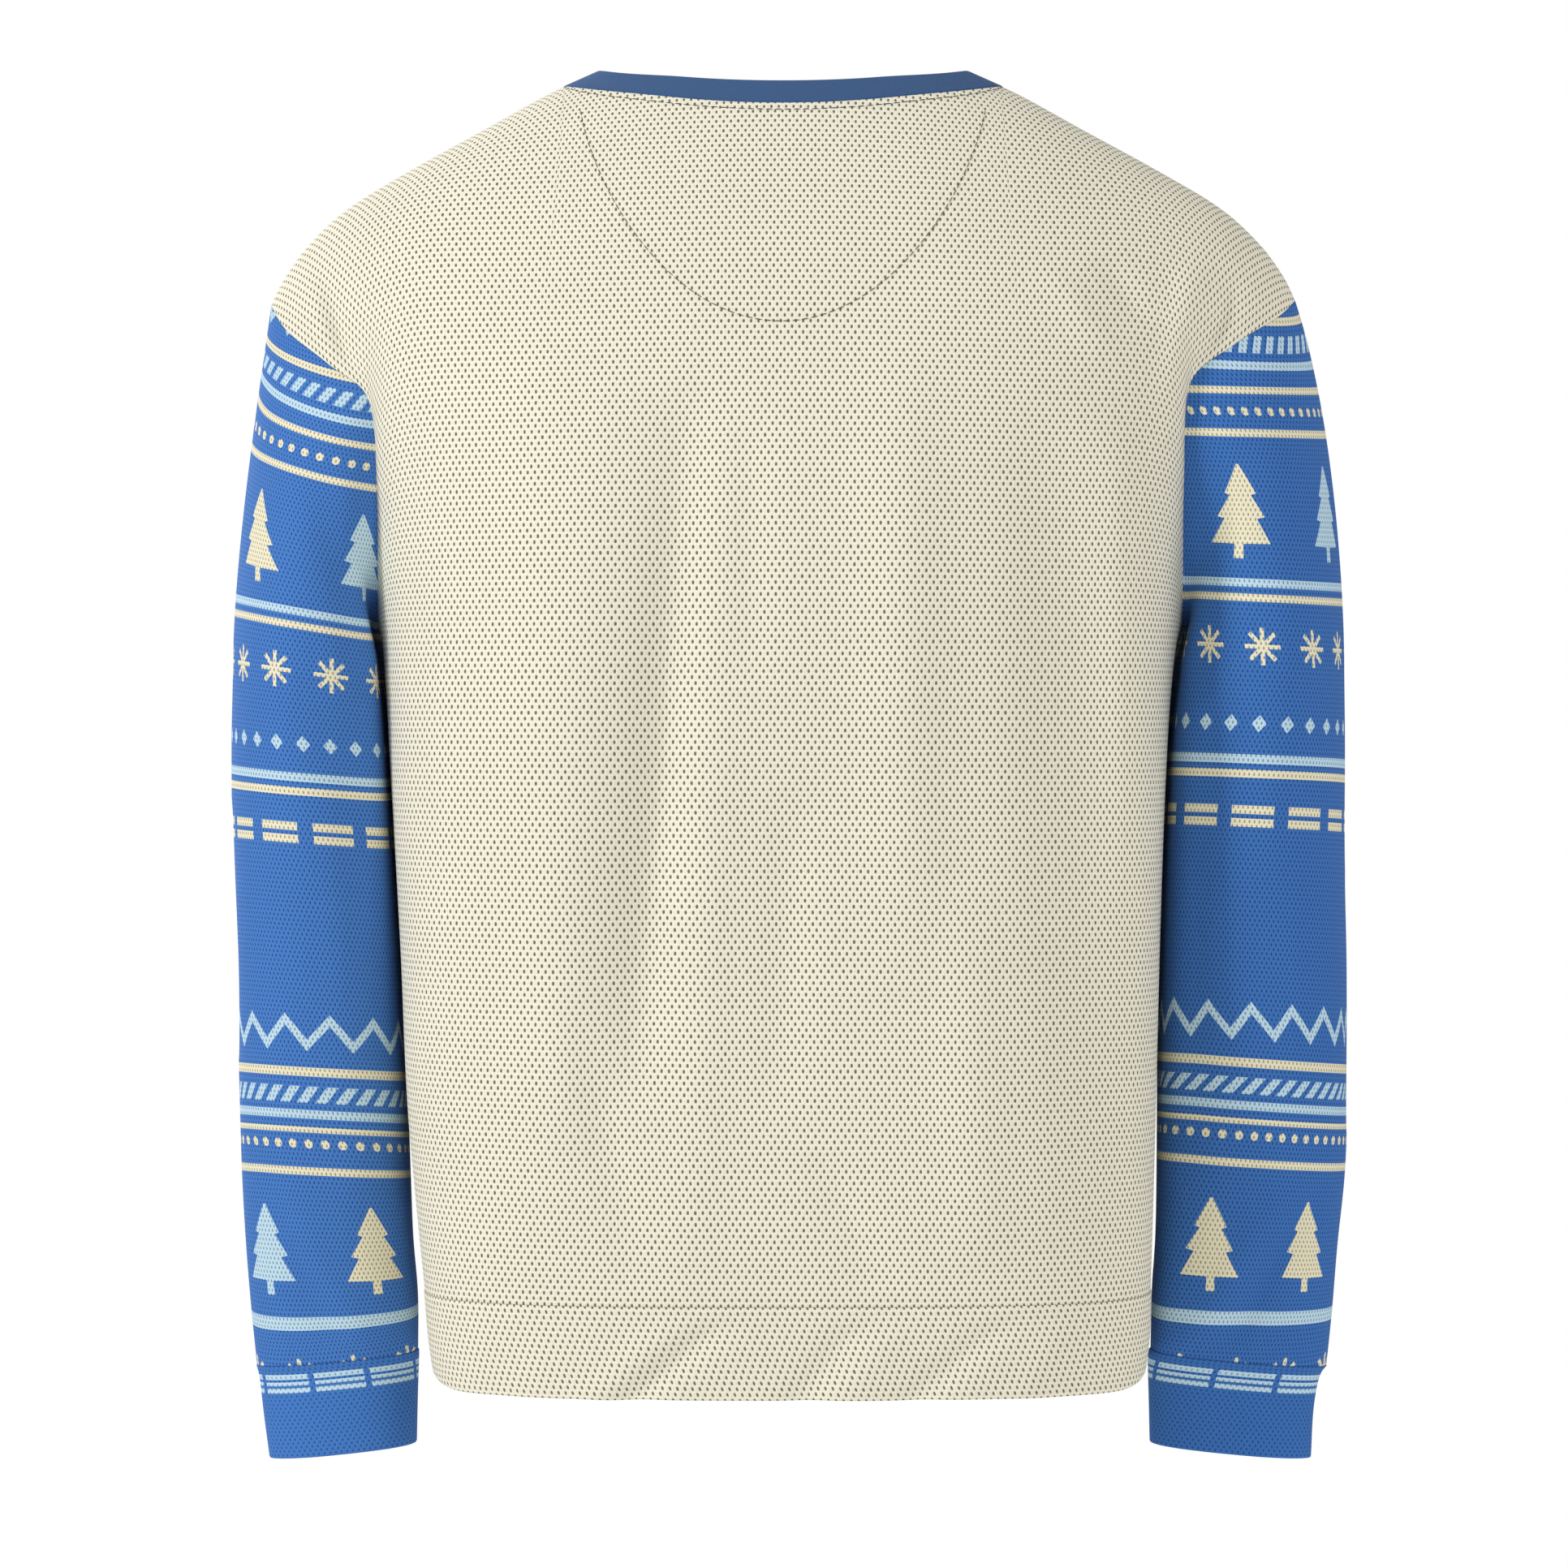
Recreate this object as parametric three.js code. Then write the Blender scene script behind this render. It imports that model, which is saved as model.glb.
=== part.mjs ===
// A crew-neck sweatshirt with dropped shoulders, filled out as if worn and hollow inside.
//
// Millimetres, +Z up. X runs across the shoulders (+X is the wearer's left) and -Y is the front.
// The origin is midway between the neck ends of the two shoulder seams, where the wearer's
// shoulders hold the garment. Every piece of cloth is a wall: a grid of points on the middle of
// the cloth, moved out and in along the cloth's normals by half its thickness.

import * as THREE from 'three';

// ---- Driving sizes ---------------------------------------------------------------------------

const fleece = 2.0;            // thickness of the panels and sleeves
const rib = 3.0;               // thickness of the folded bands
const patchCloth = 1.2;        // thickness of the half-moon patch
const seamGap = 0.3;           // between two pieces along a seam
const patchGap = 0.5;          // between the patch and the back panel
const sleeveClearance = 4.0;   // from the middle of the body's cloth to the middle of the sleeve's
const underarmSpread = 16.0;   // how much wider that is at the underarm
const spreadFades = 30;        // height over which that extra width fades
const clearSoftness = 5;       // how gradually a sleeve starts to give way to the body

const underarm = -288;         // height of the lowest point of the armhole
const waistSeam = -639.5;      // height of the seam above the waistband
const hem = -688;              // height of the bottom edge
const sideSeamY = -4;          // the side seams lie a little forward of the shoulders

const tipX = 271.5;            // half the width across the two shoulder tips
const shoulderSeamY = 4;       // the shoulder seams run along the ridge of the shoulder
const neckShare = 0.427;       // share of the ridge from the middle to the neck end of the seam

// The body from the hem up: half width, reach to the front and the back of the side seams,
// squareness of the section, and how far the section leans to the wearer's left.
const bodySections = [
  { z: -688, width: 188.6, front: 112, back: 106, square: 3.0, lean: -3.2 },
  { z: -665, width: 190.6, front: 115, back: 109, square: 3.0, lean: -3.0 },
  { z: -640, width: 191.8, front: 118, back: 112, square: 2.9, lean: -2.4 },
  { z: -605, width: 194.0, front: 121, back: 115, square: 2.8, lean: -1.2 },
  { z: -540, width: 197.6, front: 124, back: 116, square: 2.7, lean: 0.8 },
  { z: -460, width: 200.2, front: 127, back: 117, square: 2.6, lean: 1.6 },
  { z: -395, width: 203.0, front: 130, back: 121, square: 2.55, lean: 2.4 },
  { z: -335, width: 205.0, front: 133, back: 127, square: 2.5, lean: 2.8 },
  { z: -288, width: 209.8, front: 135, back: 131, square: 2.45, lean: 2.2 },
];

// The ridge of the shoulder: from the middle of the neck, where it is only a guide, down the
// shoulder seam and over the shoulder tip.
const shoulderRidge = [
  { x: 0, z: 29 },
  { x: 60, z: 20 },
  { x: 116, z: -2 },
  { x: 158, z: -24.4 },
  { x: 204, z: -49.8 },
  { x: 234, z: -68.8 },
  { x: 254, z: -88.2 },
  { x: 266, z: -105.4 },
  { x: 271.5, z: -117 },
];

// The back half of the armhole from the underarm to the shoulder tip. The front half has the
// same points with `frontY` in place of `y`. `lean` moves both armholes to the wearer's left.
const armhole = [
  { part: 0.00, x: 217.5, lean: 2.2, y: -4, frontY: -4, z: -288, zRight: -288 },
  { part: 0.20, x: 214.8, lean: 2.2, y: 34, frontY: -42, z: -268, zRight: -266 },
  { part: 0.41, x: 213.0, lean: 2.2, y: 51, frontY: -59, z: -226, zRight: -220.5 },
  { part: 0.64, x: 215.5, lean: 2.0, y: 54, frontY: -60, z: -170, zRight: -161.5 },
  { part: 0.77, x: 237.5, lean: 0.8, y: 46, frontY: -48, z: -151, zRight: -140.5 },
  { part: 0.90, x: 261.5, lean: 0.2, y: 26, frontY: -25, z: -132, zRight: -124.5 },
  { part: 1.00, x: 271.5, lean: 0.0, y: 0, frontY: 0, z: -117, zRight: -114.5 },
];

// How the yoke of each face rises from the underarm level: height of the first handle, how much
// fuller the chest or shoulder blades are, reach of the last handle and share of the neckline.
const yokes = {
  back: { face: 1, rise: 112, fuller: 7, reach: 66, reachAtTip: 78, neckPart: 0.715 },
  front: { face: -1, rise: 100, fuller: 6, reach: 66, reachAtTip: 76, neckPart: 0.53 },
};
const yokeDrawIn = 0.18;       // how far the first handle is drawn towards the middle
const yokeRiseLost = 30;       // how much less the first handle rises at the armhole
const ridgeDrop = { middle: 2, tip: 8 };   // how far the last handle lies below the ridge
const tipDrawIn = 44;          // how far the last handle is drawn in at the shoulder tip
const armholePullFrom = 0.45;  // share of the half width where the armhole starts to shape it
const skirtFlare = 9;          // height over which the flare at the underarm fades

// How the sleeve leaves the armhole, from the shoulder tip (part 0) to the underarm (part 1):
// the cloth's direction outwards, towards the face and down, and the lengths of both handles.
const sleeveHead = [
  { part: 0.00, out: 0.13, outRight: 0.32, across: 0.00, down: 0.99, reach: 60, hold: 56 },
  { part: 0.20, out: 0.36, outRight: 0.48, across: 0.26, down: 0.88, reach: 54, hold: 56 },
  { part: 0.38, out: 0.58, outRight: 0.62, across: 0.42, down: 0.70, reach: 44, hold: 54 },
  { part: 0.60, out: 0.70, outRight: 0.70, across: 0.50, down: 0.50, reach: 26, hold: 36 },
  { part: 0.82, out: 0.96, outRight: 0.96, across: 0.26, down: 0.10, reach: 14, hold: 16 },
  { part: 1.00, out: 1.00, outRight: 1.00, across: 0.00, down: -0.05, reach: 7, hold: 9 },
];

// The sleeves below the armhole: outer edge of each sleeve, inner edge, back and front.
const sleeveRings = [
  { z: -312, outLeft: 292.4, outRight: 298.2, inner: 198, back: 67, front: -90 },
  { z: -350, outLeft: 293.6, outRight: 299.0, inner: 196, back: 61, front: -90 },
  { z: -410, outLeft: 293.6, outRight: 299.4, inner: 196, back: 52, front: -87 },
  { z: -470, outLeft: 292.2, outRight: 301.6, inner: 197, back: 42, front: -83 },
  { z: -530, outLeft: 291.0, outRight: 302.2, inner: 198, back: 31, front: -78 },
  { z: -580, outLeft: 290.0, outRight: 301.0, inner: 199, back: 20, front: -73 },
  { z: -620, outLeft: 288.2, outRight: 297.4, inner: 199, back: 10, front: -69 },
  { z: -655, outLeft: 285.8, outRight: 295.0, inner: 197.0, back: 1, front: -67 },
  { z: -685, outLeft: 283.0, outRight: 292.2, inner: 197.6, back: -6, front: -63 },
];
const sleeveSquare = 2.25;     // squareness of a sleeve's ring
const cuffTilt = 8;            // how much higher a cuff is on the side next to the body

const cuffRings = [
  { z: -685, outLeft: 281.6, outRight: 288.4, inner: 198.0, back: -8, front: -61 },
  { z: -709, outLeft: 279.2, outRight: 284.8, inner: 198.8, back: -9, front: -60 },
  { z: -735, outLeft: 275.8, outRight: 283.4, inner: 199.4, back: -10, front: -59 },
];

// The neck band: its width and how steeply it stands up at the sides, the back and the front.
const neckBand = { width: 20, sideRise: 24, backRise: 40, frontRise: 46 };

// The half-moon patch: share of the neckline that it takes, its depth, its least depth and how
// far it stays below the neckline, all as shares of the yoke, and its rows.
const patch = { share: 0.925, depth: 0.325, leastDepth: 0.046, below: 0.012, rows: 5 };

// The largest folds, as soft troughs (-) and ridges (+) from one end to the other.
const folds = [
  { face: 1, x0: 62, z0: -185, x1: 78, z1: -500, width: 15, height: -3.4 },
  { face: 1, x0: -124, z0: -200, x1: -146, z1: -590, width: 30, height: -5.0 },
  { face: 1, x0: 135, z0: -150, x1: 140, z1: -540, width: 34, height: 3.0 },
  { face: 1, x0: -48, z0: -150, x1: -52, z1: -440, width: 26, height: 3.0 },
  { face: -1, x0: 70, z0: -210, x1: 92, z1: -560, width: 26, height: -4.0 },
  { face: -1, x0: -66, z0: -230, x1: -80, z1: -600, width: 22, height: -4.2 },
  { face: -1, x0: 4, z0: -190, x1: 0, z1: -520, width: 34, height: 3.0 },
];

// Grid steps.
const quarterTurns = 6;        // columns of the shoulder, and of each half of the neck
const columnTurn = 1.3;        // radians of the circle that spaces the columns
const yokeRows = 12;           // rows between the underarm and the shoulder
const bodyHeights = [waistSeam, -605, -565, -520, -460, -400, -350, -318, -298, -288];
const ringsInHead = 5;         // steps of the sleeve above its first ring
const ringsBelowHead = 11;     // steps of the sleeve below it
const cuffHeights = [-691, -709, -735];
const waistbandHeights = [-648.5, -666.5, hem];
const neckBandShares = [0, 0.34, 0.68, 1];
const sideStep = 0.02;         // a short step along a panel, to find its direction

// ---- Tables and curves -----------------------------------------------------------------------

/** The row of a table at `value` of column `key`, each other column carried on a smooth curve. */
function rowAt(table, key, value) {
  const up = table[0][key] < table.at(-1)[key] ? table : [...table].reverse();
  let i = 0;
  while (i < up.length - 2 && value > up[i + 1][key]) i += 1;
  const [from, to] = [up[i], up[i + 1]];
  const before = up[Math.max(i - 1, 0)];
  const after = up[Math.min(i + 2, up.length - 1)];
  const span = to[key] - from[key];
  const t = (value - from[key]) / span;
  const row = {};
  for (const column of Object.keys(from)) {
    const slopeIn = (to[column] - before[column]) / (to[key] - before[key]) * span;
    const slopeOut = (after[column] - from[column]) / (after[key] - from[key]) * span;
    row[column] = hermite(from[column], to[column], slopeIn, slopeOut, t);
  }
  return row;
}

/** A cubic from a to b with the given end slopes. */
function hermite(a, b, slopeA, slopeB, t) {
  const u = t * t * (3 - 2 * t);
  return a + (b - a) * u + slopeA * t * (1 - t) * (1 - t) - slopeB * t * t * (1 - t);
}

/** A point on the cubic with four handles. */
function bezier(handles, t) {
  const u = 1 - t;
  const shares = [u * u * u, 3 * u * u * t, 3 * u * t * t, t * t * t];
  const point = new THREE.Vector3();
  handles.forEach((handle, i) => point.addScaledVector(handle, shares[i]));
  return point;
}

/** Distance from the middle of a squarish oval to its edge, in the direction (x, y). */
function ovalReach(x, y, halfX, halfY, square) {
  return (Math.abs(x / halfX) ** square + Math.abs(y / halfY) ** square) ** (-1 / square);
}

// ---- The body --------------------------------------------------------------------------------

/** Body point at height z; `side` goes from -1 (right side seam) over 0 (middle) to 1 (left). */
function bodyPoint(z, side, face) {
  const section = rowAt(bodySections, 'z', z);
  const reach = face > 0 ? section.back : section.front;
  const turn = Math.abs(side) * Math.PI / 2;
  const x = section.width * Math.sin(turn);
  const y = reach * Math.cos(turn);
  const size = ovalReach(x, y, section.width, reach, section.square);
  return new THREE.Vector3(section.lean + Math.sign(side) * x * size, sideSeamY + face * y * size, z);
}

/** How much a point at (x, z) of a face is lifted by the folds. */
function foldHeight(x, z, face) {
  let height = 0;
  for (const fold of folds) {
    if (fold.face !== face) continue;
    const along = (z - fold.z0) / (fold.z1 - fold.z0);
    const across = (x - fold.x0 - (fold.x1 - fold.x0) * along) / fold.width;
    const ends = Math.max(0, 4 * along * (1 - along)) ** 0.6;
    height += fold.height * ends * Math.exp(-across * across);
  }
  return height;
}

/** The armhole's rows for one face, with one row of the other face past each end. */
function armholeRows(face) {
  const facing = (row, front) => ({ ...row, y: front ? row.frontY : row.y });
  const rows = armhole.map((row) => facing(row, face < 0));
  const other = armhole.map((row) => facing(row, face > 0));
  const last = rows.length - 1;
  rows.unshift({ ...other[1], part: -other[1].part });
  rows.push({ ...other[last - 1], part: 2 - other[last - 1].part });
  return rows;
}
const armholeTables = { back: armholeRows(1), front: armholeRows(-1) };

/** A point of the armhole; `part` goes from 0 at the underarm to 1 at the shoulder tip. */
function armholePoint(part, sign, face) {
  const row = rowAt(face > 0 ? armholeTables.back : armholeTables.front, 'part', part);
  return new THREE.Vector3(sign * row.x + row.lean, row.y, sign > 0 ? row.z : row.zRight);
}

/** The yoke without its armhole: a cubic from the underarm level to the ridge of the shoulder. */
function plainYoke(side, part, yoke) {
  const s = Math.abs(side);
  const sign = Math.sign(side);
  const edge = s ** 4;
  const bottom = bodyPoint(underarm, side, yoke.face);
  const inward = bodyPoint(underarm, (1 - sideStep) * side, yoke.face).sub(bottom);
  const above = bottom.clone().addScaledVector(inward, yokeDrawIn / sideStep);
  above.y += yoke.face * yoke.fuller * (1 - s * s);
  above.z += yoke.rise - yokeRiseLost * edge;
  const ridgeZ = rowAt(shoulderRidge, 'x', s * tipX).z;
  const ridge = new THREE.Vector3(side * tipX, shoulderSeamY * (1 - edge), ridgeZ);
  const before = ridge.clone();
  before.x -= sign * tipDrawIn * edge;
  before.y += yoke.face * THREE.MathUtils.lerp(yoke.reach, yoke.reachAtTip, edge);
  before.z -= THREE.MathUtils.lerp(ridgeDrop.middle, ridgeDrop.tip, edge);
  return bezier([bottom, above, before, ridge], part);
}

/** How far the armhole's shape reaches into the panel. */
function armholePull(side) {
  return Math.max(0, (Math.abs(side) - armholePullFrom) / (1 - armholePullFrom)) ** 3;
}

/** How much slower the rows rise at first, away from the middle. */
function rowPower(side) {
  return 1 + 0.5 * side * side;
}

/** How far up the yoke a row lies: slower near the underarm, and bent down to the neckline. */
function rowPart(side, share, yoke) {
  const slow = share ** rowPower(side);
  return slow * (1 - (1 - necklinePart(side, yoke)) * slow);
}

/** A point of the yoke, `share` of the way from the underarm up, with the armhole as its edge. */
function yokePoint(side, share, yoke) {
  const sign = Math.sign(side) || 1;
  const edge = plainYoke(sign, rowPart(sign, share, yoke), yoke);
  const slip = armholePoint(share, sign, yoke.face).sub(edge);
  return plainYoke(side, rowPart(side, share, yoke), yoke).addScaledVector(slip, armholePull(side));
}

/** A point of the body below the underarm, flared a little where the sleeve joins. */
function skirtPoint(side, z, yoke) {
  const sign = Math.sign(side) || 1;
  const point = bodyPoint(z, side, yoke.face);
  const slip = armholePoint(0, sign, yoke.face).sub(bodyPoint(underarm, sign, yoke.face));
  return point.addScaledVector(slip, armholePull(side) * Math.exp((z - underarm) / skirtFlare));
}

/** Where the neckline cuts the yoke, as a share of the way up. */
function necklinePart(side, yoke) {
  const share = Math.min(1, Math.abs(side) / neckShare);
  return 1 - (1 - yoke.neckPart) * Math.sqrt(1 - share * share);
}

/** The columns of a panel: even turns of a circle over the neck and over each shoulder. */
function panelColumns() {
  const spacing = (i) => Math.sin(i / quarterTurns * columnTurn) / Math.sin(columnTurn);
  const columns = [];
  for (let i = -quarterTurns; i <= quarterTurns; i += 1) {
    columns.push(neckShare * spacing(i));
  }
  for (let i = 1; i <= quarterTurns; i += 1) {
    const side = neckShare + (1 - neckShare) * spacing(i);
    columns.unshift(-side);
    columns.push(side);
  }
  return columns;
}

/** Lifts a point by the folds, straight to the back or the front, and not along its seams. */
function folded(point, side, face) {
  point.y += face * foldHeight(point.x, point.z, face) * (1 - armholePull(side));
  return point;
}

/** A panel's grid: rows from the waistband seam up, columns from the wearer's right to left. */
function panelGrid(yoke) {
  const columns = panelColumns();
  const grid = [];
  for (const z of bodyHeights) {
    grid.push(columns.map((side) => folded(skirtPoint(side, z, yoke), side, yoke.face)));
  }
  for (let i = 1; i <= yokeRows; i += 1) {
    grid.push(columns.map((side) => {
      return folded(yokePoint(side, i / yokeRows, yoke), side, yoke.face);
    }));
  }
  return grid;
}

// ---- Sleeves and cuffs -----------------------------------------------------------------------

/** Half the body's width at height z and depth y, or 0 clear of the body. */
function bodyEdge(z, y, sign) {
  const section = rowAt(bodySections, 'z', Math.max(z, hem));
  const depth = y - sideSeamY;
  const reach = depth > 0 ? section.back : section.front;
  const share = Math.max(0, 1 - Math.abs(depth / reach) ** section.square);
  return section.width * share ** (1 / section.square) + sign * section.lean;
}

/** A point of a sleeve's or cuff's ring. `turn` starts at the outer edge and goes by the back. */
function ringPoint(table, z, turn, sign) {
  const ring = rowAt(table, 'z', z);
  const outer = sign > 0 ? ring.outLeft : ring.outRight;
  const middle = [(outer + ring.inner) / 2, (ring.back + ring.front) / 2];
  const half = [(outer - ring.inner) / 2, (ring.back - ring.front) / 2];
  const [x, y] = [half[0] * Math.cos(turn), half[1] * Math.sin(turn)];
  const size = ovalReach(x, y, half[0], half[1], sleeveSquare);
  return new THREE.Vector3(middle[0] + x * size, middle[1] + y * size, z);
}

/** Keeps a sleeve's point just clear of the body, with a soft start and a wider underarm. */
function clearOfBody(point, z, sign) {
  const wider = underarmSpread * Math.exp((z - underarm) / spreadFades);
  const least = bodyEdge(z, point.y, sign) + sleeveClearance + wider;
  const over = (least - point.x) / clearSoftness;
  point.x += clearSoftness * Math.log1p(Math.exp(over));
  return point;
}

/** How much a ring's point is raised by the tilt of the cuff. */
function cuffLift(z, turn) {
  const low = THREE.MathUtils.smoothstep(-z, 560, 685);
  return low * cuffTilt * (1 - Math.cos(turn)) / 2;
}

/** A sleeve point on a ring of the lower sleeve. */
function sleevePoint(z, turn, sign) {
  const point = clearOfBody(ringPoint(sleeveRings, z, turn, sign), z, sign);
  point.z += cuffLift(z, turn);
  point.x *= sign;
  return point;
}

/** A sleeve's grid: rows from the armhole down to the cuff, columns all the way round. */
function sleeveGrid(sign) {
  const first = sleeveRings[0].z;
  const last = sleeveRings.at(-1).z;
  const turns = Array.from({ length: 2 * yokeRows }, (_, i) => i / yokeRows * Math.PI);
  const grid = [];
  for (let row = 0; row <= ringsInHead; row += 1) {
    grid.push(turns.map((turn, i) => {
      const face = i <= yokeRows ? 1 : -1;
      const part = i <= yokeRows ? i / yokeRows : 2 - i / yokeRows;
      const start = armholePoint(1 - part, sign, face);
      const head = rowAt(sleeveHead, 'part', part);
      const out = sign > 0 ? head.out : head.outRight;
      const leave = new THREE.Vector3(sign * out, face * head.across, -head.down).normalize();
      const end = sleevePoint(first, turn, sign);
      const leaving = start.clone().addScaledVector(leave, head.reach);
      const arriving = sleevePoint(first, turn, sign);
      arriving.z += head.hold;
      return bezier([start, leaving, arriving, end], row / ringsInHead);
    }));
  }
  for (let row = 1; row <= ringsBelowHead; row += 1) {
    const z = THREE.MathUtils.lerp(first, last, row / ringsBelowHead);
    grid.push(turns.map((turn) => sleevePoint(z, turn, sign)));
  }
  return grid;
}

/** A cuff's grid, with its top row on the sleeve's last row. */
function cuffGrid(sign, seamRow) {
  const turns = seamRow.map((_, i) => i / yokeRows * Math.PI);
  const grid = [seamRow.map((point) => point.clone())];
  for (const z of cuffHeights) {
    grid.push(turns.map((turn) => {
      const point = ringPoint(cuffRings, z, turn, sign);
      point.z += cuffLift(z, turn);
      point.x *= sign;
      return point;
    }));
  }
  return grid;
}

// ---- Bands and patch -------------------------------------------------------------------------

/** The closed loop of a row of the back panel and the same row of the front panel. */
function closedRow(backRow, frontRow) {
  return [...backRow, ...frontRow.slice(1, -1).reverse()].map((point) => point.clone());
}

/** The waistband's grid: from its seam down to the hem. */
function waistbandGrid(backRow, frontRow) {
  const columns = panelColumns();
  const around = [
    ...columns.map((side) => [side, yokes.back]),
    ...columns.slice(1, -1).reverse().map((side) => [side, yokes.front]),
  ];
  const grid = [closedRow(backRow, frontRow)];
  for (const z of waistbandHeights) {
    grid.push(around.map(([side, yoke]) => bodyPoint(z, side, yoke.face)));
  }
  return grid;
}

/** The neck band's grid: from the neckline inwards and up. */
function neckBandGrid(backRow, frontRow) {
  const neckOnly = (row) => row.slice(quarterTurns, row.length - quarterTurns);
  const seam = closedRow(neckOnly(backRow), neckOnly(frontRow));
  return neckBandShares.map((share) => seam.map((point, i) => {
    const turn = i / seam.length * Math.PI * 2;
    const across = -Math.cos(turn);
    const along = Math.sin(turn);
    const steep = along > 0 ? neckBand.backRise : neckBand.frontRise;
    const degrees = THREE.MathUtils.lerp(neckBand.sideRise, steep, along * along);
    const rise = THREE.MathUtils.degToRad(degrees);
    const flat = Math.cos(rise);
    const inward = new THREE.Vector3(-across * flat, -along * flat, Math.sin(rise));
    return point.clone().addScaledVector(inward, neckBand.width * share);
  }));
}

/** A point on one column of a grid, between its rows. */
function onColumn(grid, column, row) {
  const below = Math.min(Math.floor(row), grid.length - 2);
  return grid[below][column].clone().lerp(grid[below + 1][column], row - below);
}

/** The patch's grid: the upper middle of the back panel, from the neckline down to its curve. */
function patchGrid(points, normals) {
  const columns = panelColumns();
  const reach = neckShare * patch.share;
  const depthIn = fleece / 2 + patchGap + patchCloth / 2;
  const grid = [];
  for (let row = 0; row <= patch.rows; row += 1) {
    const line = [];
    columns.forEach((side, column) => {
      if (Math.abs(side) > reach + 1e-6) return;
      const top = necklinePart(side, yokes.back);
      const round = Math.sqrt(Math.max(0, 1 - (side / reach) ** 2));
      const drop = Math.max(patch.leastDepth, patch.depth * round);
      const part = top - drop * (1 - row / patch.rows) - patch.below;
      const slow = (1 - Math.sqrt(1 - 4 * (1 - top) * part)) / (2 * (1 - top));
      const share = slow ** (1 / rowPower(side));
      const at = bodyHeights.length - 1 + share * yokeRows;
      line.push(onColumn(points, column, at).addScaledVector(onColumn(normals, column, at), -depthIn));
    });
    grid.push(line);
  }
  return grid;
}

// ---- Cloth: from grids to walls --------------------------------------------------------------

/** The four corners of each cell of a grid, `round` joining its last column to its first. */
function cells(grid, round) {
  const list = [];
  const width = grid[0].length;
  for (let row = 0; row + 1 < grid.length; row += 1) {
    for (let column = 0; column < (round ? width : width - 1); column += 1) {
      const next = (column + 1) % width;
      list.push([[row, column], [row, next], [row + 1, next], [row + 1, column]]);
    }
  }
  return list;
}

/** Names a point by its place, so that the same point of two pieces has one name. */
function placeOf(point) {
  return [point.x, point.y, point.z].map((value) => Math.round(value * 100)).join(' ');
}

/** Normals of several grids at once: pieces that share a seam share its normals. */
function sharedNormals(pieces) {
  const sums = new Map();
  for (const piece of pieces) {
    for (const cell of cells(piece.grid, piece.round)) {
      const [a, b, c, d] = cell.map(([row, column]) => piece.grid[row][column]);
      const cross = c.clone().sub(a).cross(d.clone().sub(b)).multiplyScalar(piece.outward);
      for (const point of [a, b, c, d]) {
        const place = placeOf(point);
        sums.set(place, (sums.get(place) || new THREE.Vector3()).add(cross));
      }
    }
  }
  for (const piece of pieces) {
    const normalAt = (point) => sums.get(placeOf(point)).clone().normalize();
    piece.normals = piece.grid.map((row) => row.map(normalAt));
  }
}

/** Draws a piece back from its seams by half the seam gap, square to the seam and in the cloth. */
function drawnBack(piece) {
  const { grid, normals, round } = piece;
  const lastRow = grid.length - 1;
  const lastColumn = grid[0].length - 1;
  const moved = grid.map((row) => row.map((point) => point.clone()));
  const draw = (row, column, along, inside) => {
    const [from, to] = along;
    const inward = normals[row][column].clone().cross(to.clone().sub(from)).normalize();
    const away = inward.dot(inside.clone().sub(grid[row][column])) > 0 ? 1 : -1;
    moved[row][column].addScaledVector(inward, away * seamGap / 2);
  };
  for (const [row, next] of [[0, 1], [lastRow, lastRow - 1]]) {
    const edge = grid[row];
    for (let column = 0; column <= lastColumn; column += 1) {
      const before = round ? edge.at(column - 1) : edge[Math.max(column - 1, 0)];
      const after = round ? edge[(column + 1) % edge.length] : edge[Math.min(column + 1, lastColumn)];
      draw(row, column, [before, after], grid[next][column]);
    }
  }
  if (!round) {
    for (const [column, next] of [[0, 1], [lastColumn, lastColumn - 1]]) {
      for (let row = 0; row <= lastRow; row += 1) {
        const before = grid[Math.max(row - 1, 0)][column];
        const after = grid[Math.min(row + 1, lastRow)][column];
        draw(row, column, [before, after], grid[row][next]);
      }
    }
  }
  return moved;
}

/** The wall of a piece as one closed geometry. */
function wall(piece) {
  const { normals, round, outward, thickness } = piece;
  const grid = drawnBack(piece);
  const width = grid[0].length;
  const positions = [];
  const sewn = [];
  for (const face of [0.5, -0.5]) {
    grid.forEach((row, r) => row.forEach((point, c) => {
      positions.push(...point.clone().addScaledVector(normals[r][c], face * thickness).toArray());
      sewn.push(piece.grid[r][c].clone().addScaledVector(normals[r][c], face * fleece));
    }));
  }
  const inner = grid.length * width;
  const index = [];
  const quad = (a, b, c, d) => {
    const first = sewn[a].distanceTo(sewn[c]) < sewn[b].distanceTo(sewn[d]);
    const split = first ? [a, b, c, a, c, d] : [b, c, d, b, d, a];
    index.push(...(outward > 0 ? split : split.reverse()));
  };
  for (const cell of cells(grid, round)) {
    const [a, b, c, d] = cell.map(([row, column]) => row * width + column);
    quad(a, b, c, d);
    quad(inner + a, inner + d, inner + c, inner + b);
  }
  const rim = (from, to) => quad(to, from, inner + from, inner + to);
  const top = (grid.length - 1) * width;
  for (let column = 0; column < (round ? width : width - 1); column += 1) {
    const next = (column + 1) % width;
    rim(column, next);
    rim(top + next, top + column);
  }
  if (!round) {
    for (let row = 0; row + 1 < grid.length; row += 1) {
      rim((row + 1) * width, row * width);
      rim(row * width + width - 1, (row + 1) * width + width - 1);
    }
  }
  const geometry = new THREE.BufferGeometry();
  geometry.setAttribute('position', new THREE.Float32BufferAttribute(positions, 3));
  geometry.setIndex(index);
  geometry.computeVertexNormals();
  return geometry;
}

// ---- The garment -----------------------------------------------------------------------------

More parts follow.
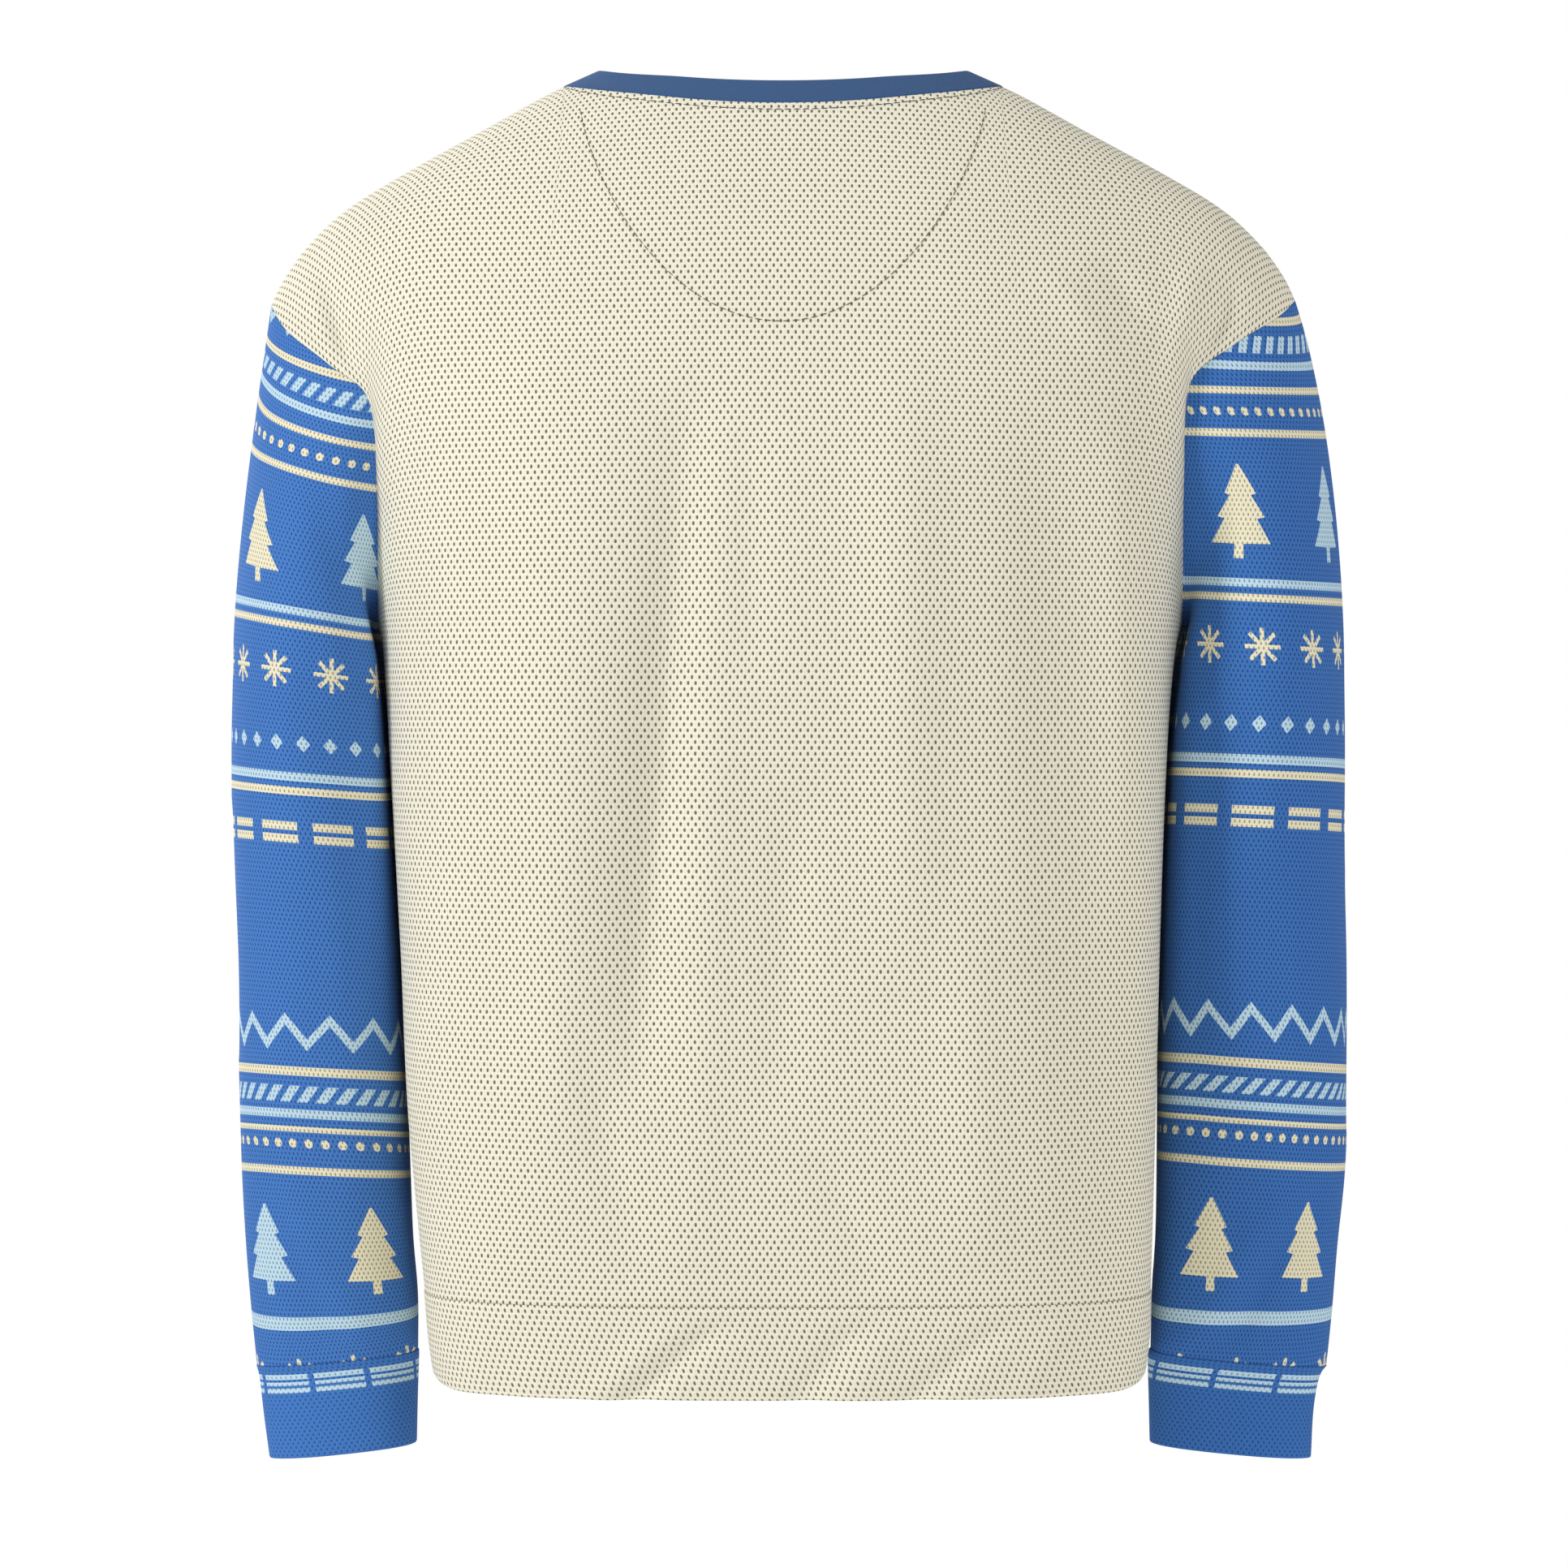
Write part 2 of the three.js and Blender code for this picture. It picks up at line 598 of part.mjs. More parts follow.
const cream = { color: 0xf0ebd6, roughness: 0.92, metalness: 0 };
const blue = { color: 0x4377c0, roughness: 0.9, metalness: 0 };
const steelBlue = { color: 0x40618f, roughness: 0.92, metalness: 0 };

const backGrid = panelGrid(yokes.back);
const frontGrid = panelGrid(yokes.front);
const leftSleeve = sleeveGrid(1);
const rightSleeve = sleeveGrid(-1);

const leftCuff = cuffGrid(1, leftSleeve.at(-1));
const rightCuff = cuffGrid(-1, rightSleeve.at(-1));
const waistband = waistbandGrid(backGrid[0], frontGrid[0]);
const neckRib = neckBandGrid(backGrid.at(-1), frontGrid.at(-1));

const panel = { round: false, thickness: fleece };
const tube = { round: true, thickness: fleece };
const band = { round: true, thickness: rib };
const pieces = [
  { name: 'back_panel', grid: backGrid, outward: -1, look: cream, ...panel },
  { name: 'front_panel', grid: frontGrid, outward: 1, look: cream, ...panel },
  { name: 'sleeve_left', grid: leftSleeve, outward: -1, look: blue, ...tube },
  { name: 'sleeve_right', grid: rightSleeve, outward: 1, look: blue, ...tube },
  { name: 'cuff_left', grid: leftCuff, outward: -1, look: blue, ...band },
  { name: 'cuff_right', grid: rightCuff, outward: 1, look: blue, ...band },
  { name: 'waistband', grid: waistband, outward: 1, look: cream, ...band },
  { name: 'neck_rib', grid: neckRib, outward: -1, look: steelBlue, ...band },
];
sharedNormals(pieces);

const patchPoints = patchGrid(backGrid, pieces[0].normals);
const patchPiece = { name: 'half_moon_patch', grid: patchPoints, outward: -1, look: cream };
Object.assign(patchPiece, { round: false, thickness: patchCloth });
sharedNormals([patchPiece]);
pieces.push(patchPiece);

const sweatshirt = new THREE.Group();
for (const piece of pieces) {
  const mesh = new THREE.Mesh(wall(piece), new THREE.MeshStandardMaterial(piece.look));
  mesh.name = piece.name;
  sweatshirt.add(mesh);
}

export default sweatshirt;
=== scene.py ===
# %% [markdown]
# # A crew-neck sweatshirt, filled out as worn
# A sweatshirt is sewn from a back and a front panel, two sleeves, folded bands at the waist, the
# cuffs and the neck, and here a half-moon patch inside the back of the neck. This lesson works
# each piece out as a surface, gives it the thickness of its cloth, and then mixes its cloth: a
# cream fleece with a speckled knit print, and blue sleeves with a striped winter pattern.
# Sizes are written in millimetres, as on a cutting table, and turned to metres once, when a
# mesh is made. +Z is up, +X the wearer's left, and -Y the front.

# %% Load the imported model
import math

import bpy
import numpy as np
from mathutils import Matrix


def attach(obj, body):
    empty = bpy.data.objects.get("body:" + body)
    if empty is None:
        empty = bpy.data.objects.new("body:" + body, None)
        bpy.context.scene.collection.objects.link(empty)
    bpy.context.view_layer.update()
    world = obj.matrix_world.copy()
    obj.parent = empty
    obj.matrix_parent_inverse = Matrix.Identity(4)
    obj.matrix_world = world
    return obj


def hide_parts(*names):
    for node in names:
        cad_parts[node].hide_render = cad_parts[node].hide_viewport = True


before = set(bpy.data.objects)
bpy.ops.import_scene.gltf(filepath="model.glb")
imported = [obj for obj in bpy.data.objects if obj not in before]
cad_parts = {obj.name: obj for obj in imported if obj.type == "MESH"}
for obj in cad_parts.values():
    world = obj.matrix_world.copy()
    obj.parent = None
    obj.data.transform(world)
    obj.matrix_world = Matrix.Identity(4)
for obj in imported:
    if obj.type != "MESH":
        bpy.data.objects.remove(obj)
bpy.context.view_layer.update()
MM = 0.001

# %% [markdown]
# ## Camera, light and floor
# The camera looks level at the back of the garment from three metres away, as a studio camera
# with a long lens would, so the sleeves keep their width. The strongest soft light stands high on
# the wearer's left, two weaker ones on the right and one before the garment, and the white
# surroundings fill the rest. The wearer's feet would stand about 1.45 m below the shoulders, so
# the floor lies there.

# %% The camera
CAMERA_DISTANCE = 3000.0
CAMERA_HEIGHT = -330.0
VIEW_WIDTH = 835.8             # what the frame takes in at the middle of the garment
VIEW_MIDDLE = (0.4, -371.6)    # across and up

camera = bpy.data.objects.new("camera", bpy.data.cameras.new("camera"))
camera.data.lens = camera.data.sensor_width * CAMERA_DISTANCE / VIEW_WIDTH
camera.location = (0, CAMERA_DISTANCE * MM, CAMERA_HEIGHT * MM)
tip = math.atan2(VIEW_MIDDLE[1] - CAMERA_HEIGHT, CAMERA_DISTANCE)
turn = math.atan2(-VIEW_MIDDLE[0], CAMERA_DISTANCE)
camera.rotation_euler = (math.pi / 2 + tip, 0, math.pi + turn)
bpy.context.scene.collection.objects.link(camera)
bpy.context.scene.camera = camera
print("lens in mm", round(camera.data.lens, 1))


# %% A node helper
def add_node(tree, kind, inputs=(), **settings):
    """Adds a node. `settings` are its own properties, and `inputs` a value or output by socket."""
    node = tree.nodes.new(kind)
    for name, value in settings.items():
        setattr(node, name, value)
    for socket, value in dict(inputs).items():
        if isinstance(value, bpy.types.NodeSocket):
            tree.links.new(value, node.inputs[socket])
        else:
            node.inputs[socket].default_value = value
    return node


def linear(hex_colour):
    """An sRGB hex colour as linear red, green, blue and alpha."""
    parts = np.array([int(hex_colour[i:i + 2], 16) / 255 for i in (1, 3, 5)])
    low = parts / 12.92
    high = ((parts + 0.055) / 1.055) ** 2.4
    return (*np.where(parts <= 0.04045, low, high), 1.0)


# %% Studio light
LIT_MIDDLE = (0.0, 0.0, -0.37)   # what every light faces, in metres


def area_light(name, at, size, power):
    """A soft white square light at `at`, in metres, turned to face the garment."""
    light = bpy.data.lights.new(name, "AREA")
    light.size = size
    light.energy = power
    thing = bpy.data.objects.new(name, light)
    thing.location = at
    away = np.array(LIT_MIDDLE) - np.array(at)
    thing.rotation_euler = (
        math.atan2(math.hypot(away[0], away[1]), -away[2]), 0, math.atan2(-away[0], away[1]))
    bpy.context.scene.collection.objects.link(thing)


area_light("key", (3.0, 1.8, 1.5), 0.8, 76)
area_light("fill", (-1.5, 3.0, 0.4), 1.6, 22)
area_light("side", (-3.2, 0.9, 0.4), 1.6, 12)
area_light("front", (1.7, -2.7, 1.1), 1.8, 52)

scene = bpy.context.scene
scene.view_settings.view_transform = "Standard"
world = bpy.data.worlds.new("white studio")
scene.world = world
world.use_nodes = True
sky = world.node_tree
sky.nodes.clear()
ray = add_node(sky, "ShaderNodeLightPath")
white = linear("#ffffff")
glow = add_node(sky, "ShaderNodeBackground", {"Color": white, "Strength": 0.45})
paper = add_node(sky, "ShaderNodeBackground", {"Color": white, "Strength": 1.0})
both = add_node(sky, "ShaderNodeMixShader",
                {0: ray.outputs["Is Camera Ray"], 1: glow.outputs[0], 2: paper.outputs[0]})
add_node(sky, "ShaderNodeOutputWorld", {"Surface": both.outputs[0]})


# %% A mesh from arrays
def new_mesh(name, points, faces):
    """A smooth mesh object from points in millimetres and faces of four corners each."""
    mesh = bpy.data.meshes.new(name)
    mesh.from_pydata((points * MM).tolist(), [], faces.tolist())
    mesh.polygons.foreach_set("use_smooth", np.ones(len(mesh.polygons), bool))
    mesh.update()
    thing = bpy.data.objects.new(name, mesh)
    bpy.context.scene.collection.objects.link(thing)
    return thing


# %% The floor
FLOOR_HEIGHT = -1450.0
FLOOR_RADIUS = 2600.0
FLOOR_CORNERS = 96

turns = np.linspace(0, 2 * np.pi, FLOOR_CORNERS, endpoint=False)
ring = np.stack([np.cos(turns), np.sin(turns), 0 * turns], -1) * FLOOR_RADIUS
floor_points = np.concatenate([ring / 2, ring]) + [0, 0, FLOOR_HEIGHT]
first = np.arange(FLOOR_CORNERS)
second = np.roll(first, -1)
outwards = [first, first + FLOOR_CORNERS, second + FLOOR_CORNERS, second]
floor_faces = [*np.stack(outwards, -1).tolist(), first.tolist()]
floor_mesh = bpy.data.meshes.new("floor")
floor_mesh.from_pydata((floor_points * MM).tolist(), [], floor_faces)
floor = bpy.data.objects.new("floor", floor_mesh)
scene.collection.objects.link(floor)
floor_paint = bpy.data.materials.new("matt white studio floor")
floor_paint.use_nodes = True
floor_shader = floor_paint.node_tree.nodes["Principled BSDF"]
floor_shader.inputs["Base Color"].default_value = linear("#f2f1ee")
floor_shader.inputs["Roughness"].default_value = 0.9
floor.data.materials.append(floor_paint)

# %% [markdown]
# ## The garment's sizes
# A maker grades a sweatshirt from a few sizes at a few heights. The same is done here: each table
# has one row for a height or a place along an edge, and every value in between lies on a smooth
# curve through the rows.


# %% Tables and curves
def table(columns, *rows):
    """A table with named columns, as one array for each column."""
    return dict(zip(columns.split(), np.array(rows, float).T))


def rows_at(sizes, key, at):
    """Every column at the values `at` of column `key`: on each span a cubic through both rows,
    whose slope at a row is the slope between that row's two neighbours."""
    order = np.argsort(sizes[key])
    keys = sizes[key][order]
    at = np.asarray(at, float)
    i = np.clip(np.searchsorted(keys, at, side="right") - 1, 0, len(keys) - 2)
    span = keys[i + 1] - keys[i]
    t = (at - keys[i]) / span
    found = {}
    for name, column in sizes.items():
        v = column[order]
        slope = np.empty(len(v))
        slope[1:-1] = (v[2:] - v[:-2]) / (keys[2:] - keys[:-2])
        slope[0] = (v[1] - v[0]) / (keys[1] - keys[0])
        slope[-1] = (v[-1] - v[-2]) / (keys[-1] - keys[-2])
        ease = t * t * (3 - 2 * t)
        found[name] = (v[i] + (v[i + 1] - v[i]) * ease + slope[i] * span * t * (1 - t) ** 2
                       - slope[i + 1] * span * t * t * (1 - t))
    return found


def place(x, y, z):
    """Points from their three coordinates, which may be of any shapes that fit together."""
    return np.stack(np.broadcast_arrays(x, y, z), -1).astype(float)


def oval_reach(x, y, half_x, half_y, square):
    """How far the direction (x, y) must be stretched to reach a squarish oval:
    (|x/half_x|^square + |y/half_y|^square) to the power -1/square."""
    return (np.abs(x / half_x) ** square + np.abs(y / half_y) ** square) ** (-1 / square)


def smoothstep(x, low, high):
    """0 below `low`, 1 above `high`, and 3t^2 - 2t^3 between them."""
    t = np.clip((x - low) / (high - low), 0, 1)
    return t * t * (3 - 2 * t)


# %% Sizes of the body
UNDERARM = -288.0
WAIST_SEAM = -639.5
HEM = -688.0
SIDE_SEAM_Y = -4.0
TIP_X = 271.5
SHOULDER_SEAM_Y = 4.0
NECK_SHARE = 0.427             # share of the shoulder line that the neck takes

body_sections = table(
    "z width front back square lean",
    (-688, 188.6, 112, 106, 2.90, -3.2),
    (-665, 190.6, 115, 109, 3.10, -3.0),
    (-640, 191.8, 118, 112, 3.20, -2.4),
    (-605, 194.0, 121, 115, 3.30, -1.2),
    (-540, 197.6, 124, 116, 3.40, 0.8),
    (-460, 200.2, 127, 117, 3.45, 1.6),
    (-395, 203.0, 130, 121, 3.40, 2.4),
    (-335, 206.2, 133, 127, 3.20, 2.6),
    (-288, 209.8, 135, 131, 2.90, 1.8))

shoulder_ridge = table(
    "x z",
    (-60, 20), (0, 28), (60, 20), (116, -2), (158, -24.4), (204, -49.8), (234, -68.8), (254, -88.2),
    (266, -105.4), (271.5, -117))

# From the underarm (part 0) to the shoulder tip (part 1). The row past each end is the mirror of
# the row on its near side, with the depths of back and front exchanged.
armhole = table(
    "part x lean back front z z_right",
    (-0.20, 211.6, 1.6, -42, 34, -268, -266),
    (0.00, 213.2, 1.7, -4, -4, -288, -288),
    (0.20, 211.6, 1.6, 34, -42, -268, -266),
    (0.41, 210.9, 1.6, 51, -59, -226, -220.5),
    (0.64, 214.8, 2.1, 54, -60, -170, -161.5),
    (0.77, 237.5, 0.8, 46, -48, -151, -140.5),
    (0.90, 261.5, 0.2, 26, -25, -132, -124.5),
    (1.00, 271.5, 0.0, 0, 0, -117, -114.5),
    (1.10, 261.5, 0.2, -25, 26, -132, -124.5))

BACK, FRONT = 1, -1
yokes = {
    BACK: {"rise": 112, "fuller": 7, "reach": 66, "reach_at_tip": 78, "neck_part": 0.715},
    FRONT: {"rise": 100, "fuller": 6, "reach": 66, "reach_at_tip": 76, "neck_part": 0.53},
}
YOKE_DRAW_IN = 0.18            # how far the first handle is drawn towards the middle
YOKE_RISE_LOST = 30.0          # how much less the first handle rises at the armhole
RIDGE_DROP = (2.0, 8.0)        # how far the last handle lies below the ridge: middle, tip
TIP_DRAW_IN = 44.0             # how far the last handle is drawn in at the shoulder tip
ARMHOLE_PULL_FROM = 0.45       # share of the half width where the armhole starts to shape it
SKIRT_FLARE = 9.0              # height over which the flare at the underarm fades
SIDE_STEP = 0.02               # share of the half width over which its slope is measured
ROW_SLOWING = 0.5              # how much more slowly the yoke's rows start at the sides

# %% Sizes of the sleeves, cuffs and neck band
SLEEVE_CLEARANCE = 3.2         # between a sleeve and the body beside it
UNDERARM_SPREAD = 5.0          # how much wider that is at the underarm
SPREAD_FADES = 26.0            # height over which that extra width fades
CLEAR_SOFTNESS = 5.0
SLEEVE_SQUARE = 2.25           # squareness of a sleeve's ring
CUFF_TILT = 8.0                # how much higher a cuff is on the side next to the body
CUFF_TILT_SPAN = (560, 685)    # where the tilt starts and is full, below the shoulders

sleeve_head = table(
    "part out out_right across down reach hold",
    (0.00, 0.13, 0.32, 0.00, 0.99, 60, 56),
    (0.20, 0.36, 0.48, 0.26, 0.88, 54, 56),
    (0.38, 0.58, 0.62, 0.42, 0.70, 44, 54),
    (0.60, 0.70, 0.70, 0.50, 0.50, 26, 36),
    (0.82, 0.96, 0.96, 0.26, 0.10, 14, 16),
    (1.00, 1.00, 1.00, 0.00, -0.05, 7, 9))

sleeve_rings = table(
    "z out_left out_right inner back front",
    (-312, 292.4, 298.2, 198.0, 67, -90),
    (-350, 293.6, 299.0, 196.0, 61, -90),
    (-410, 293.6, 299.4, 196.0, 52, -87),
    (-470, 292.2, 301.6, 197.0, 42, -83),
    (-530, 291.0, 302.2, 198.0, 31, -78),
    (-580, 290.0, 301.0, 199.0, 20, -73),
    (-620, 288.2, 297.4, 199.0, 10, -69),
    (-655, 285.8, 295.0, 197.0, 1, -67),
    (-685, 283.0, 292.2, 197.6, -6, -63))

cuff_rings = table(
    "z out_left out_right inner back front",
    (-685, 281.6, 288.4, 198.0, -8, -61),
    (-709, 279.2, 284.8, 198.8, -9, -60),
    (-735, 275.8, 283.4, 199.4, -10, -59))

NECK_BAND_WIDTH = 20.0
NECK_BAND_RISE = {"side": 24.0, BACK: 40.0, FRONT: 46.0}   # degrees

# %% [markdown]
# ## The body as a surface
# Below the underarm the body is a squarish oval at each height. Above it, each face rises on a
# cubic curve from the underarm to the ridge of the shoulder, and near the armhole the cloth is
# pulled to the armhole's own curve. One number, `side`, goes across the panel from the right side
# seam (-1) to the left one (1), and `share` goes up the yoke from the underarm (0) to its top (1).


# %% Body below the underarm
def body_point(z, side, face):
    """A point of the squarish oval at height z, a quarter turn from the middle to a side seam."""
    section = rows_at(body_sections, "z", z)
    reach = section["back"] if face == BACK else section["front"]
    turn = np.abs(side) * np.pi / 2
    x = section["width"] * np.sin(turn)
    y = reach * np.cos(turn)
    size = oval_reach(x, y, section["width"], reach, section["square"])
    return place(section["lean"] + np.sign(side) * x * size, SIDE_SEAM_Y + face * y * size, z)


def armhole_point(part, sign, face):
    """A point of the armhole of the left (1) or right (-1) side, on the back or front face."""
    row = rows_at(armhole, "part", part)
    depth = row["back"] if face == BACK else row["front"]
    return place(sign * row["x"] + row["lean"], depth, np.where(sign > 0, row["z"], row["z_right"]))


def armhole_pull(side):
    """How far the armhole shapes the panel: the cube of the share past ARMHOLE_PULL_FROM."""
    share = (np.abs(side) - ARMHOLE_PULL_FROM) / (1 - ARMHOLE_PULL_FROM)
    return np.maximum(0, share) ** 3


def skirt_point(side, z, face):
    """The body's oval, flared exponentially towards the underarm where the sleeve joins."""
    sign = np.where(side < 0, -1, 1)
    slip = armhole_point(0, sign, face) - body_point(UNDERARM, sign, face)
    flare = armhole_pull(side) * np.exp((z - UNDERARM) / SKIRT_FLARE)
    return body_point(z, side, face) + slip * flare[..., None]


# %% The yoke
def plain_yoke(side, part, face):
    """A cubic from the underarm level up to the ridge of the shoulder, with four handles."""
    yoke = yokes[face]
    s = np.abs(side)
    edge = s ** 4
    zero = 0 * part
    bottom = body_point(UNDERARM + zero, side, face)
    inward = (body_point(UNDERARM + zero, (1 - SIDE_STEP) * side, face) - bottom) / SIDE_STEP
    above = bottom + YOKE_DRAW_IN * inward
    above += place(zero, face * yoke["fuller"] * (1 - s * s), yoke["rise"] - YOKE_RISE_LOST * edge)
    ridge_z = rows_at(shoulder_ridge, "x", s * TIP_X)["z"]
    ridge = place(side * TIP_X + zero, SHOULDER_SEAM_Y * (1 - edge), ridge_z)
    reach = yoke["reach"] + (yoke["reach_at_tip"] - yoke["reach"]) * edge
    drop = RIDGE_DROP[0] + (RIDGE_DROP[1] - RIDGE_DROP[0]) * edge
    before = ridge + place(-np.sign(side) * TIP_DRAW_IN * edge + zero, face * reach, -drop)
    t = part[..., None]
    u = 1 - t
    return u ** 3 * bottom + 3 * u * u * t * above + 3 * u * t * t * before + t ** 3 * ridge


def neckline_part(side, face):
    """Where the neckline cuts the yoke: an ellipse that ends at the shoulder seams."""
    share = np.minimum(1, np.abs(side) / NECK_SHARE)
    return 1 - (1 - yokes[face]["neck_part"]) * np.sqrt(1 - share * share)


def row_part(side, share, face):
    """How far up the yoke a row lies: slow at first at the sides, and bent down to the neck."""
    slow = share ** (1 + ROW_SLOWING * side * side)
    return slow * (1 - (1 - neckline_part(side, face)) * slow)


def yoke_point(side, share, face):
    """The plain yoke, slipped sideways so that its edge is the armhole."""
    side, share = np.broadcast_arrays(side, share)
    sign = np.where(side < 0, -1, 1)
    edge = plain_yoke(sign, row_part(sign, share, face), face)
    slip = armhole_point(share, sign, face) - edge
    middle = plain_yoke(side, row_part(side, share, face), face)
    return middle + slip * armhole_pull(side)[..., None]


# %% [markdown]
# ## Spacing the grid
# Cloth is round between its seams and turns sharply into each seam, so the rows and columns of
# points are even in the middle and end with three short steps. Where two pieces are sewn
# together they have the same points along the seam, so no gap opens between them.


# %% Steps that end short
EDGE_STEPS = (0.7, 1.7, 3.4)   # millimetres from a seam to the rows beside it


def steps(length, count, start=True, end=True):
    """Shares of `length` from 0 to 1 in even steps, with the short edge steps at either end."""
    edge = np.array(EDGE_STEPS) / length
    low = edge if start else np.array([])
    high = 1 - edge[::-1] if end else np.array([])
    inner_low = edge[-1] if start else 0.0
    inner_high = 1 - edge[-1] if end else 1.0
    even = np.linspace(inner_low, inner_high, count + 1)
    parts = [[0.0], low[:-1], even, high[1:], [1.0]]
    return np.unique(np.round(np.concatenate(parts), 9))


CLOSER = 1.3                   # radians of a sine that draws columns closer at a seam


def closing(shares):
    """Shares from 0 to 1, drawn closer together towards 1."""
    return np.sin(shares * CLOSER) / np.sin(CLOSER)


across_shoulder = NECK_SHARE + (1 - NECK_SHARE) * closing(steps(170, 46, start=False))
across_neck = NECK_SHARE * closing(np.linspace(0, 1, 41))
half_sides = np.unique(np.round(np.concatenate([across_neck, across_shoulder]), 9))
SIDES = np.concatenate([-half_sides[:0:-1], half_sides])
NECK_COLUMNS = np.flatnonzero(np.abs(SIDES) <= NECK_SHARE + 1e-9)
SKIRT_HEIGHTS = WAIST_SEAM + (UNDERARM - WAIST_SEAM) * steps(351, 112, end=False)
YOKE_SHARES = steps(290, 92, start=False)[1:]
print("a panel has", len(SIDES), "columns and", len(SKIRT_HEIGHTS) + len(YOKE_SHARES), "rows")


# %% The grids of the panels
def panel_grid(face):
    """Rows from the waistband seam up to the shoulder, columns from right to left."""
    skirt = skirt_point(SIDES[None, :], SKIRT_HEIGHTS[:, None] + 0 * SIDES, face)
    yoke = yoke_point(SIDES[None, :], YOKE_SHARES[:, None], face)
    return np.concatenate([skirt, yoke])


# %% [markdown]
# ## Sleeves
# A sleeve leaves the armhole in its own direction at each place, and a cubic carries it into the
# first of a column of rings. `turn` goes round a ring from its outer edge, by the back to the
# inner edge and by the front with a minus sign. A sleeve gives way softly where it would touch
# the body: the distance it lacks goes through softness * log(1 + exp(lack / softness)).


# %% Rings
def ring_point(rings, z, turn, sign):
    """A point of the squarish oval ring at height z, on the left side; the right is mirrored."""
    ring = rows_at(rings, "z", z)
    outer = ring["out_left"] if sign > 0 else ring["out_right"]
    half_x = (outer - ring["inner"]) / 2
    half_y = (ring["back"] - ring["front"]) / 2
    x = half_x * np.cos(turn)
    y = half_y * np.sin(turn)
    size = oval_reach(x, y, half_x, half_y, SLEEVE_SQUARE)
    return place(ring["inner"] + half_x + x * size, ring["front"] + half_y + y * size, z)


def body_edge(z, y, sign):
    """Half the body's width at height z and depth y, where the sleeve hangs beside it."""
    section = rows_at(body_sections, "z", np.maximum(z, HEM))
    depth = y - SIDE_SEAM_Y
    reach = np.where(depth > 0, section["back"], section["front"])
    share = np.maximum(0, 1 - np.abs(depth / reach) ** section["square"])
    return section["width"] * share ** (1 / section["square"]) + sign * section["lean"]


def cuff_lift(z, turn):
    """The side next to the body is drawn up by CUFF_TILT towards the cuff."""
    return smoothstep(-z, *CUFF_TILT_SPAN) * CUFF_TILT * (1 - np.cos(turn)) / 2


def sleeve_point(z, turn, sign):
    """A ring's point, kept clear of the body and raised by the tilt of the cuff."""
    point = ring_point(sleeve_rings, z, turn, sign)
    wider = UNDERARM_SPREAD * np.exp((z - UNDERARM) / SPREAD_FADES)
    least = body_edge(z, point[..., 1], sign) + SLEEVE_CLEARANCE + wider
    lack = (least - point[..., 0]) / CLEAR_SOFTNESS
    point[..., 0] += CLEAR_SOFTNESS * np.logaddexp(0, lack)
    point[..., 2] += cuff_lift(z, turn)
    point[..., 0] *= sign
    return point


# %% The grids of the sleeves and cuffs
SLEEVE_TOP = sleeve_rings["z"].max()
SLEEVE_END = sleeve_rings["z"].min()
ARM_SHARES = np.concatenate([[0.0], YOKE_SHARES])
HALF_ROUND = 1 - ARM_SHARES[::-1]
ROUND = np.concatenate([-HALF_ROUND[:0:-1], HALF_ROUND[:-1]])   # half turns from the outer edge
HEAD_STEPS = steps(150, 44, end=False)
ARM_HEIGHTS = SLEEVE_TOP + (SLEEVE_END - SLEEVE_TOP) * steps(373, 112, start=False)[1:]


def sleeve_grid(sign):
    """Rows from the armhole down to the cuff, columns round from the outer edge by the back."""
    turn = ROUND * np.pi
    by_back = ROUND >= 0
    part = np.abs(ROUND)
    face = np.where(by_back, 1, -1)
    start = np.where(by_back[:, None], armhole_point(1 - part, np.array(sign), BACK),
                     armhole_point(1 - part, np.array(sign), FRONT))
    head = rows_at(sleeve_head, "part", part)
    out = head["out"] if sign > 0 else head["out_right"]
    leave = place(sign * out, face * head["across"], -head["down"])
    leave /= np.linalg.norm(leave, axis=-1, keepdims=True)
    end = sleeve_point(SLEEVE_TOP + 0 * turn, turn, sign)
    leaving = start + leave * head["reach"][:, None]
    arriving = end + place(0, 0, head["hold"])
    t = HEAD_STEPS[:, None, None]
    u = 1 - t
    top = u ** 3 * start + 3 * u * u * t * leaving + 3 * u * t * t * arriving + t ** 3 * end
    z, turn = np.broadcast_arrays(ARM_HEIGHTS[:, None], turn)
    return np.concatenate([top, sleeve_point(z, turn, sign)])


CUFF_STEPS = steps(50, 14)[1:]
CUFF_SETTLE = 3.0              # length over which a cuff takes its own shape


def cuff_grid(sign, seam):
    """The sleeve's last row, then rows that follow the cuff's own rings down to its edge."""
    turn = ROUND * np.pi
    top, bottom = cuff_rings["z"].max(), cuff_rings["z"].min()
    z = top + (bottom - top) * CUFF_STEPS[:, None] + 0 * turn
    rows = ring_point(cuff_rings, z, turn[None, :] + 0 * z, sign)
    rows[..., 2] += cuff_lift(z, turn)
    rows[..., 0] *= sign
    settle = np.exp(-(top - z) / CUFF_SETTLE)[..., None]
    rows = rows * (1 - settle) + (seam + [0, 0, 1] * (z - top)[..., None]) * settle
    return np.concatenate([seam[None], rows])


# %% The grids of the waistband and neck band
def closed_row(back_row, front_row):
    """The closed loop of a row of the back panel and the same row of the front panel."""
    return np.concatenate([back_row, front_row[-2:0:-1]])


WAIST_STEPS = steps(48.5, 14)[1:]
HEM_LIFT = 8.0                 # how far the hem is drawn up at the side seams
HEM_LIFT_SPAN = (0.6, 0.95)    # shares of the half width where that starts and is full


